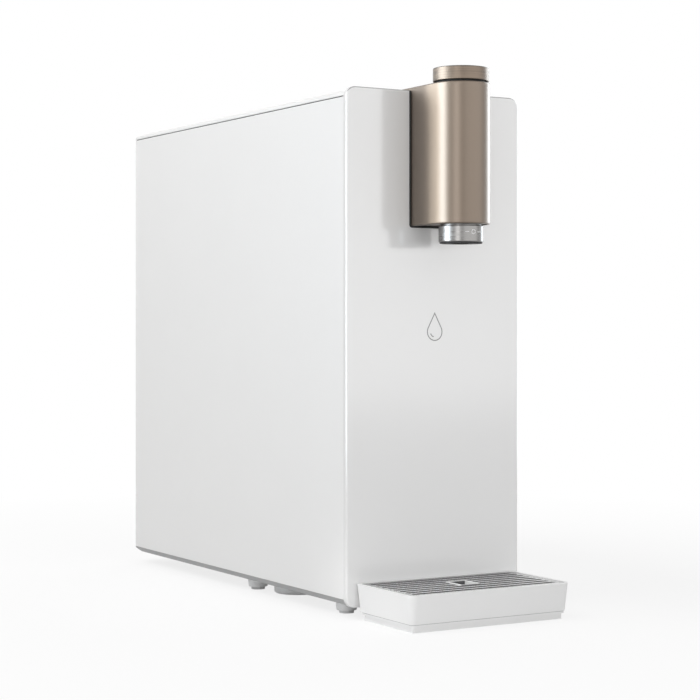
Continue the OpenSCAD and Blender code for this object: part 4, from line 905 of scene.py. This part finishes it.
@dataclass
class CaseShell(Assembly):
    """The front panel, sides, back and base, with the feet."""

    finishes: ClassVar[dict[str, Finish]] = {
        "front_panel": Shelf.panel_white, "left_side_panel": Shelf.case_white,
        "right_side_panel": Shelf.case_white, "back_panel": Shelf.case_white,
        "base_pan": Shelf.base_grey, "chassis_plate": Shelf.sheet_steel,
        "foot_cups": Shelf.foot_grey, "foot_pads": Shelf.pad_rubber,
        "drain_cap": Shelf.tray_white, "drain_cap_seal": Shelf.seal_black,
    }
    rounding: dict[str, float] = field(default_factory=lambda: {
        "left_side_panel": 0.25, "right_side_panel": 0.25,
        "foot_cups": 0.3, "foot_pads": 0.3, "drain_cap": 0.3,
    })
    mark_radius: float = 7.2 * MM  # radius of the printed drop's round end
    mark_width: float = 0.8 * MM
    mark_height: float = 0.06 * MM
    mark_sink: float = 0.01 * MM  # how far the print goes into the panel
    mark_z: float = 220.5 * MM  # height of the drop's round end above the ground
    tip_share: float = 2.15  # distance from the round end's middle to the tip, in radii
    gleam_share: float = 0.62  # radius of the drop's gleam, in radii
    gleam_turn: Span = (200, 255)  # first and last angle of the gleam, in degrees
    screw_sink: float = 0.6 * MM  # depth of the screws' seats below the rearmost face
    screw_x: float = 0.054  # distance of the screws from the middle
    screw_rows: tuple[float, ...] = (0.388, 0.200, 0.024)  # heights of the screws on the back

    def add_pieces(self) -> None:
        """Adds the printed drop and the screws."""
        self.print_drop()
        self.add_screws()

    def print_drop(self) -> None:
        """Prints the outline of a water drop on the front panel."""
        tip = self.tip_share * self.mark_radius
        half_open = math.degrees(math.acos(self.mark_radius / tip))
        outer = [*arc(self.mark_radius, 90 + half_open, 450 - half_open, 40), (0.0, tip)]
        shrink = 1 - self.mark_width / self.mark_radius
        inner = [(x * shrink, y * shrink) for x, y in outer]
        gleam_r = self.gleam_share * self.mark_radius
        gleam = [arc(radius, *self.gleam_turn, 12) for radius in (gleam_r, gleam_r - self.mark_width)]
        y_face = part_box("front_panel")[0].y
        place = Matrix.Translation((0, y_face + self.mark_sink, self.mark_z)) @ FACING_FRONT
        for name, shape in (("panel_drop_mark", band(outer, inner, self.mark_height, True)),
                            ("panel_drop_gleam", band(*gleam, self.mark_height))):
            add_piece(name, shape, "housing", Shelf.ink_grey, place)

    def add_screws(self) -> None:
        """Adds the screws of the back panel."""
        y_back = CAD_BOX[1].y - self.screw_sink
        places = [(side * self.screw_x, z) for z in self.screw_rows for side in (-1, 1)]
        for i, (x, z) in enumerate(places, start=1):
            place = Matrix.Translation((x, y_back, z)) @ FACING_BACK
            Fastener().add(f"back_screw_{i}", "housing", place)


@dataclass
class FilterBay(Assembly):
    """The lid, the deck under it and the two cartridges in their manifold."""

    finishes: ClassVar[dict[str, Finish]] = {
        "top_lid": Shelf.case_white, "filter_deck": Shelf.foot_grey, "filter_manifold": Shelf.ivory,
        "ro_cartridge": Shelf.filter_white, "ro_cartridge_cap": Shelf.cap_blue,
        "ro_cartridge_seals": Shelf.seal_black, "carbon_cartridge": Shelf.filter_white,
        "carbon_cartridge_cap": Shelf.cap_slate, "carbon_cartridge_seals": Shelf.seal_black,
    }
    arrow_starts: Span = (40, 220)  # angles where the printed arrows on a cap's rim start, in degrees
    arrow_radius: float = 41.9 * MM  # outer radius of an arrow's line
    arrow_width: float = 1.4 * MM
    arrow_height: float = 0.1 * MM
    arrow_turn: float = 70.0  # angle that the arrow's line covers, in degrees
    head_step: float = 1.0  # angle from the line's end to the head's barbs, in degrees
    head_turn: float = 10.0  # angle from the line's end to the head's tip, in degrees
    bar_rise: float = 5.5 * MM  # height of a cap's grip bar above its rim
    seam_drop: float = 4.6 * MM  # distance from the lid's top down to the middle of its seam
    seam_strip_in: float = 0.9 * MM  # distance of the dark strip in the seam from the lid's outside
    seam_strip_start: float = 8 * MM  # distance of the strip's ends from the lid's front
    seam_strip_radius: float = 5.1 * MM
    seam_strip_width: float = 1.4 * MM
    seam_strip_height: float = 0.6 * MM

    def add_pieces(self) -> None:
        """Adds the turning arrows and the lid's strip."""
        for name in ("ro", "carbon"):
            self.add_arrows(name)
        self.add_seam_strip()

    def add_seam_strip(self) -> None:
        """Adds a dark strip along the lid's sides and back, seen in the seam."""
        low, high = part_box("top_lid")
        half = (high.x - low.x) / 2 - self.seam_strip_in
        start, back = low.y + self.seam_strip_start, high.y - self.seam_strip_in
        lines = []
        for inset in (0.0, self.seam_strip_width):
            line = [(inset - half, start)]
            for side, turn in ((-1, 180), (1, 90)):
                middle = (side * (half - self.seam_strip_radius), back - self.seam_strip_radius)
                line += arc(self.seam_strip_radius - inset, turn, turn - 90, 8, middle)
            lines.append([*line, (half - inset, start)])
        place = Matrix.Translation((0, 0, high.z - self.seam_drop - self.seam_strip_height / 2))
        add_piece("lid_seam_strip", band(*lines, self.seam_strip_height), "lid", Shelf.seal_black,
                  place)

    def add_arrows(self, name: str) -> None:
        """Prints two curved arrows on a cap's rim.

        Args:
            name: The cartridge's name.
        """
        low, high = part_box(f"{name}_cartridge_cap")
        axis = (low + high) / 2
        place = Matrix.Translation((axis.x, axis.y, high.z - self.bar_rise - self.arrow_height / 2))
        inside_r = self.arrow_radius - self.arrow_width
        for i, start in enumerate(self.arrow_starts, start=1):
            end = start + self.arrow_turn
            tip = spot(self.arrow_radius - self.arrow_width / 2, end + self.head_turn)
            lines = []
            for line_r, barb_r in ((self.arrow_radius, self.arrow_radius + self.arrow_width),
                                   (inside_r, inside_r - self.arrow_width)):
                barb = spot(barb_r, end + self.head_step)
                lines.append([*arc(line_r, start, end, 24), barb, tip])
            shape = band(*lines, self.arrow_height)
            bmesh.ops.remove_doubles(shape, verts=shape.verts, dist=1e-6)
            add_piece(f"{name}_cap_arrow_{i}", shape, f"{name}_filter", Shelf.ink_white,
                      place)


@dataclass
class Tap(Assembly):
    """The column with its arm, the outlet and what feeds it."""

    finishes: ClassVar[dict[str, Finish]] = {
        "tap_shell": Shelf.champagne, "tap_bottom_plate": Shelf.plate_champagne,
        "tap_bracket": Shelf.sheet_steel, "nozzle_sleeve": Shelf.spout_silver,
        "nozzle_outlet": Shelf.gap_black, "uv_lamp_board": Shelf.board_green,
        "tap_feed_tube": Shelf.tube_white,
    }
    mark_rise: float = 7.2 * MM  # height of the outlet's printed mark above the sleeve's lower edge
    dash_angle: float = 9.0  # angle of each printed dash, in degrees
    dash_gap: float = 13.0  # angle from the middle to a dash, in degrees
    dash_rise: float = 0.05 * MM  # how far a dash stands out of the sleeve
    dash_sink: float = 0.1 * MM  # how far it goes into the sleeve
    dash_height: float = 0.7 * MM
    ring_radii: Span = (1.9 * MM, 1.3 * MM)  # outer and inner radius of the printed ring
    ring_height: float = 0.2 * MM
    ring_sink: float = 0.13 * MM  # how far the ring's plane lies inside the sleeve's front
    # Dark strip round the tap's root: painted shade in the gap between tap and front panel
    root_shade_reach: float = 1.2 * MM
    root_shade_height: float = 0.7 * MM  # height of the dark strip above the front panel
    root_shade_near: float = 0.05 * MM  # distance of the dark strip from the tap
    root_shade_sink: float = 0.1 * MM  # how far the dark strip goes into the panel
    root_shade_drop: float = 0.6 * MM  # distance of the dark strip's ends from the panel's top
    root_radius: float = 1.2 * MM  # radius of the root's lower corners

    def add_pieces(self) -> None:
        """Adds the outlet's printed mark and the dark strip of painted shade round the tap's root."""
        self.print_outlet_mark()
        self.add_root_shade()

    def add_root_shade(self) -> None:
        """Adds a dark strip between the tap's root and the front panel, as painted shade in the gap."""
        low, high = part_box("tap_shell")
        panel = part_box("front_panel")
        top = panel[1].z - self.root_shade_drop
        lines = []
        for out in (self.root_shade_reach, self.root_shade_near):
            line = [(low.x - out, top)]
            for side, start in ((low.x, 180), (high.x, 270)):
                middle = (side + math.copysign(self.root_radius, -side), low.z + self.root_radius)
                line += arc(self.root_radius + out, start, start + 90, 6, middle)
            lines.append([*line, (high.x + out, top)])
        place = Matrix.Translation((0, panel[0].y + self.root_shade_sink, 0)) @ FACING_FRONT
        # Painted shade: a dark strip in the gap round the tap's root
        add_piece("tap_root_shade_strip", band(*lines, self.root_shade_height + self.root_shade_sink), "housing",
                  Shelf.seal_black, place)

    def print_outlet_mark(self) -> None:
        """Prints two dashes and a ring on the front of the outlet's sleeve."""
        low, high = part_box("nozzle_sleeve")
        radius = (high.x - low.x) / 2
        axis, z = (low + high) / 2, low.z + self.mark_rise
        for i, side in enumerate((-1, 1), start=1):
            middle = -90 + side * (self.dash_gap + self.dash_angle / 2)
            ends = (middle - self.dash_angle / 2, middle + self.dash_angle / 2)
            shape = band(arc(radius + self.dash_rise, *ends, 8),
                         arc(radius - self.dash_sink, *ends, 8), self.dash_height)
            add_piece(f"outlet_dash_{i}", shape, "housing", Shelf.ink_white,
                      Matrix.Translation((axis.x, axis.y, z)))
        ring = band(*(arc(reach, 0, 345, 23) for reach in self.ring_radii), self.ring_height, True)
        front = Matrix.Translation((axis.x, axis.y - radius + self.ring_sink, z + self.dash_height / 2))
        add_piece("outlet_ring_mark", ring, "housing", Shelf.ink_white,
                  front @ FACING_FRONT)


@dataclass
class DialKnob(Assembly):
    """The knob that turns and presses, and the switch under it."""

    finishes: ClassVar[dict[str, Finish]] = {
        "knob_ring": Shelf.knob_champagne, "knob_lens": Shelf.lens, "knob_hub": Shelf.black,
        "knob_shaft": Shelf.drawn_steel, "knob_bezel": Shelf.gap_black,
        "knob_encoder": Shelf.sheet_steel, "encoder_board": Shelf.board_green,
        "press_plunger": Shelf.black,
    }
    tick_count: int = 24
    tick_radius: float = 15.2 * MM
    tick_length: float = 2.2 * MM
    tick_height: float = 0.05 * MM
    tick_sink: float = 0.02 * MM  # how far the print goes into the lens
    tick_angle: float = 2.6
    long_every: int = 6  # every so many ticks one is longer
    long_share: float = 1.6  # length of a longer tick, in lengths of the others

    def add_pieces(self) -> None:
        """Prints the ticks on the lens."""
        low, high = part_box("knob_lens")
        axis = (low + high) / 2
        top = Matrix.Translation((axis.x, axis.y, high.z - self.tick_sink))
        for i in range(self.tick_count):
            turn = 360 * i / self.tick_count
            length = self.tick_length * (self.long_share if i % self.long_every == 0 else 1.0)
            ends = (turn - self.tick_angle / 2, turn + self.tick_angle / 2)
            lines = [arc(radius, *ends, 3) for radius in (self.tick_radius, self.tick_radius - length)]
            shape = band(*lines, self.tick_height)
            add_piece(f"knob_tick_{i + 1}", shape, "knob", Shelf.ink_white, top)


@dataclass
class DripTray(Assembly):
    """The tray on its plinth, with its grille and collar."""

    finishes: ClassVar[dict[str, Finish]] = {
        "drip_tray": Shelf.tray_white, "tray_plinth": Shelf.tray_white,
        "drip_grille": Shelf.grille_grey, "grille_collar": Shelf.collar_white,
    }
    rounding: dict[str, float] = field(default_factory=lambda: {
        "drip_tray": 0.5, "tray_plinth": 0.3, "drip_grille": 0.04, "grille_collar": 0.15,
    })
    step_in: float = 3.0 * MM  # distance from the tray's rim in to the step along its lower edge
    step_z: float = 1.8 * MM  # height of that step's upper corner above the tray's underside
    step_radius: float = 3.6 * MM
    step_shade_height: float = 0.5 * MM  # height of the dark strip in that corner, as painted shade
    step_shade_out: float = 0.14 * MM  # how far the strip stands out of the step
    step_shade_in: float = 0.9 * MM  # how far it goes into the step

    def add_pieces(self) -> None:
        """Adds a dark strip in the step under the tray's wall, as painted shade."""
        low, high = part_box("drip_tray")
        half_x, half_y = ((high[i] - low[i]) / 2 - self.step_in - self.step_radius for i in (0, 1))
        lines = []
        for out in (self.step_shade_out, -self.step_shade_in):
            line = []
            for i, (side, end) in enumerate(((1, 1), (-1, 1), (-1, -1), (1, -1))):
                middle = (side * half_x, end * half_y)
                line += arc(self.step_radius + out, 90 * i, 90 * i + 90, 8, middle)
            lines.append(line)
        place = Matrix.Translation((0, (low.y + high.y) / 2, low.z + self.step_z - self.step_shade_height))
        # Painted shade: a dark strip where the step under the tray's wall lies in shadow
        add_piece("tray_step_shade_strip", band(*lines, self.step_shade_height, True), "tray", Shelf.base_grey,
                  place)


@dataclass
class WaterWorks(Assembly):
    """Heater, pump, valves, boards and the rear entries."""

    finishes: ClassVar[dict[str, Finish]] = {
        "pump_motor": Shelf.motor_dark, "pump_head": Shelf.black, "pump_bracket": Shelf.sheet_steel,
        "pump_grommets": Shelf.seal_black, "pump_tubes": Shelf.tube_white,
        "inlet_valve": Shelf.tube_white, "waste_valve": Shelf.tube_white,
        "valve_tubes": Shelf.tube_white, "flow_sensor": Shelf.black,
        "heater_feed_tube": Shelf.tube_white, "instant_heater": Shelf.drawn_steel,
        "heater_clamps": Shelf.sheet_steel, "control_board": Shelf.board_green,
        "power_supply": Shelf.sheet_steel, "inlet_fitting": Shelf.filter_white,
        "waste_fitting": Shelf.filter_white, "inlet_collet": Shelf.collet_blue,
        "waste_collet": Shelf.collet_grey, "cord_gland": Shelf.black,
    }


@dataclass
class Softbox:
    """An area lamp."""

    name: str
    place: Point
    target: Point
    size: Span  # width and height
    power: float  # power in watts
    lights_matt: bool = True  # whether it lights matt surfaces, or only shows in gloss and metal
    mirrored: bool = False  # whether gloss and metal show it
    spread: float = 180.0  # angle of its beam in degrees
    tint: Colour = (1.0, 1.0, 1.0)

    def hang(self) -> None:
        """Adds the lamp to the scene."""
        data = bpy.data.lights.new(self.name, "AREA")
        data.shape = "RECTANGLE"
        data.size, data.size_y = self.size
        data.energy = self.power
        data.color = self.tint
        data.spread = math.radians(self.spread)
        lamp = bpy.data.objects.new(self.name, data)
        lamp.location = self.place
        aim = Vector(self.target) - Vector(self.place)
        lamp.rotation_euler = aim.to_track_quat("-Z", "Y").to_euler()
        lamp.visible_diffuse = self.lights_matt
        lamp.visible_glossy = self.mirrored
        bpy.context.scene.collection.objects.link(lamp)


@dataclass
class Studio:
    """Camera, white surroundings, floor and lamps."""

    camera_place: Point = (-0.783, -1.3695, 0.2262)
    camera_turn: float = 30.33  # degrees that it looks to the right of straight ahead
    lens: float = 94.0  # focal length in millimetres
    sensor: float = 36.0  # width of the camera's sensor in millimetres
    shift_y: float = -0.0364  # upward shift of the frame
    view_end: float = 50.0  # distance to which the camera sees
    sky: float = 0.45  # strength of the surroundings on matt surfaces
    floor_radius: float = 12.0
    floor_rough: float = 0.9
    floor_tone: float = 0.6  # brightness of the floor to other surfaces
    floor_seen: float = 0.92  # brightness of the floor as the camera sees it
    floor_glow: float = 0.8  # share of plain white in the floor by the object, as the camera sees it
    floor_reach: Span = (0.3, 0.9)  # distance over which the floor turns plain white
    lamps: tuple[Softbox, ...] = (
        Softbox("left_strip", (-1.45, 0.476, 0.55), (0.0, -0.2, 0.36), (1.16, 1.4), 53.0, False, True,
                tint=(0.82, 0.92, 1.0)),
        Softbox("left_card", (-1.36, -1.34, 0.5), (0.0, -0.2, 0.36), (0.64, 1.4), 8.0, False, True),
        Softbox("front_card", (1.0, -3.2, 0.9), (0.0, -0.2, 0.36), (5.0, 2.6), 46.0, False, True),
        Softbox("right_strip", (1.43, 0.22, 0.5), (0.0, -0.2, 0.36), (0.64, 1.3), 11.0, False, True,
                tint=(0.86, 0.94, 1.0)),
        Softbox("upper_left", (-1.0, 0.08, 1.45), (-0.08, -0.02, 0.3), (1.0, 1.0), 13.0),
        Softbox("front_fill", (-0.05, -2.4, 0.24), (0.0, -0.16, 0.2), (3.0, 0.48), 16.4),
        Softbox("left_fill", (-1.3, -1.5, 0.3), (0.0, -0.2, 0.2), (0.6, 0.5), 1.2),
        Softbox("right_fill", (1.35, 0.95, 0.75), (0.08, 0.1, 0.2), (1.0, 1.0), 7.5),
        Softbox("tray_grid", (-0.55, -0.35, 0.12), (-0.072, -0.205, 0.016), (0.12, 0.06), 0.0075,
                spread=14.0),
    )

    def build(self) -> None:
        """Sets up the whole studio."""
        bpy.context.scene.view_settings.view_transform = "Standard"
        self.stand_camera()
        self.light_sky()
        self.lay_floor()
        for lamp in self.lamps:
            lamp.hang()

    def stand_camera(self) -> None:
        """Adds the camera at the photograph's angle."""
        data = bpy.data.cameras.new("camera")
        data.sensor_width = self.sensor
        data.lens = self.lens
        data.shift_y = self.shift_y
        data.clip_end = self.view_end
        camera = bpy.data.objects.new("camera", data)
        camera.location = self.camera_place
        camera.rotation_euler = (math.pi / 2, 0.0, -math.radians(self.camera_turn))
        bpy.context.scene.collection.objects.link(camera)
        bpy.context.scene.camera = camera

    @staticmethod
    def seen_directly(sheet: NodeSheet) -> Socket:
        """Adds the test for a ray that shows the surroundings as they are.

        Args:
            sheet: The nodes that use the test.

        Returns:
            1 for camera, glossy and transmitted rays, else 0.
        """
        path = sheet.add("ShaderNodeLightPath")
        shown = sheet.calc("MAXIMUM", path.outputs["Is Camera Ray"], path.outputs["Is Glossy Ray"])
        return sheet.calc("MAXIMUM", shown, path.outputs["Is Transmission Ray"])

    def light_sky(self) -> None:
        """Makes the surroundings white to look at and softer as a light."""
        world = bpy.data.worlds.new("studio")
        bpy.context.scene.world = world
        world.use_nodes = True
        sheet = NodeSheet(world.node_tree)
        shader = world.node_tree.nodes["Background"]
        shader.inputs["Color"].default_value = (1.0, 1.0, 1.0, 1.0)
        strength = sheet.spread(self.seen_directly(sheet), self.sky, 1.0)
        sheet.feed(shader.inputs["Strength"], strength)

    def floor_material(self) -> bpy.types.Material:
        """Makes a pale white that keeps shadows and fades into plain white.

        Returns:
            The floor's material.
        """
        material = bpy.data.materials.new("floor_white")
        material.use_nodes = True
        paint = Paint(material)
        paint.put("Roughness", self.floor_rough)
        paint.put("Specular IOR Level", 0.0)
        seen = self.seen_directly(paint)
        tone = paint.spread(seen, self.floor_tone, self.floor_seen)
        grey = paint.add("ShaderNodeCombineColor")
        for target in grey.inputs:
            paint.feed(target, tone)
        paint.put("Base Color", grey.outputs[0])
        glow = paint.add("ShaderNodeEmission")
        mix = paint.add("ShaderNodeMixShader")
        reach = paint.add("ShaderNodeVectorMath", operation="LENGTH")
        paint.feed(reach.inputs[0], paint.place())
        white = paint.spread(reach.outputs["Value"], self.floor_glow, 1.0, self.floor_reach)
        paint.feed(mix.inputs[0], paint.calc("MULTIPLY", seen, white))
        paint.feed(mix.inputs[1], paint.shader.outputs[0])
        paint.feed(mix.inputs[2], glow.outputs[0])
        paint.feed(material.node_tree.nodes["Material Output"].inputs["Surface"], mix.outputs[0])
        return material

    def lay_floor(self) -> None:
        """Lays a round floor under the object."""
        shape = bmesh.new()
        bmesh.ops.create_circle(shape, cap_ends=True, segments=64, radius=self.floor_radius)
        mesh = bpy.data.meshes.new("floor")
        shape.to_mesh(mesh)
        shape.free()
        mesh.materials.append(self.floor_material())
        floor = bpy.data.objects.new("floor", mesh)
        bpy.context.scene.collection.objects.link(floor)


def main() -> None:
    """Builds every sub-assembly and the studio."""
    logging.basicConfig(level=logging.INFO, format="%(name)s: %(message)s")
    for assembly in (CaseShell(), FilterBay(), Tap(), DialKnob(), DripTray(), WaterWorks(), Studio()):
        LOG.info("building %s", type(assembly).__name__)
        assembly.build()


if __name__ == "__main__":
    main()
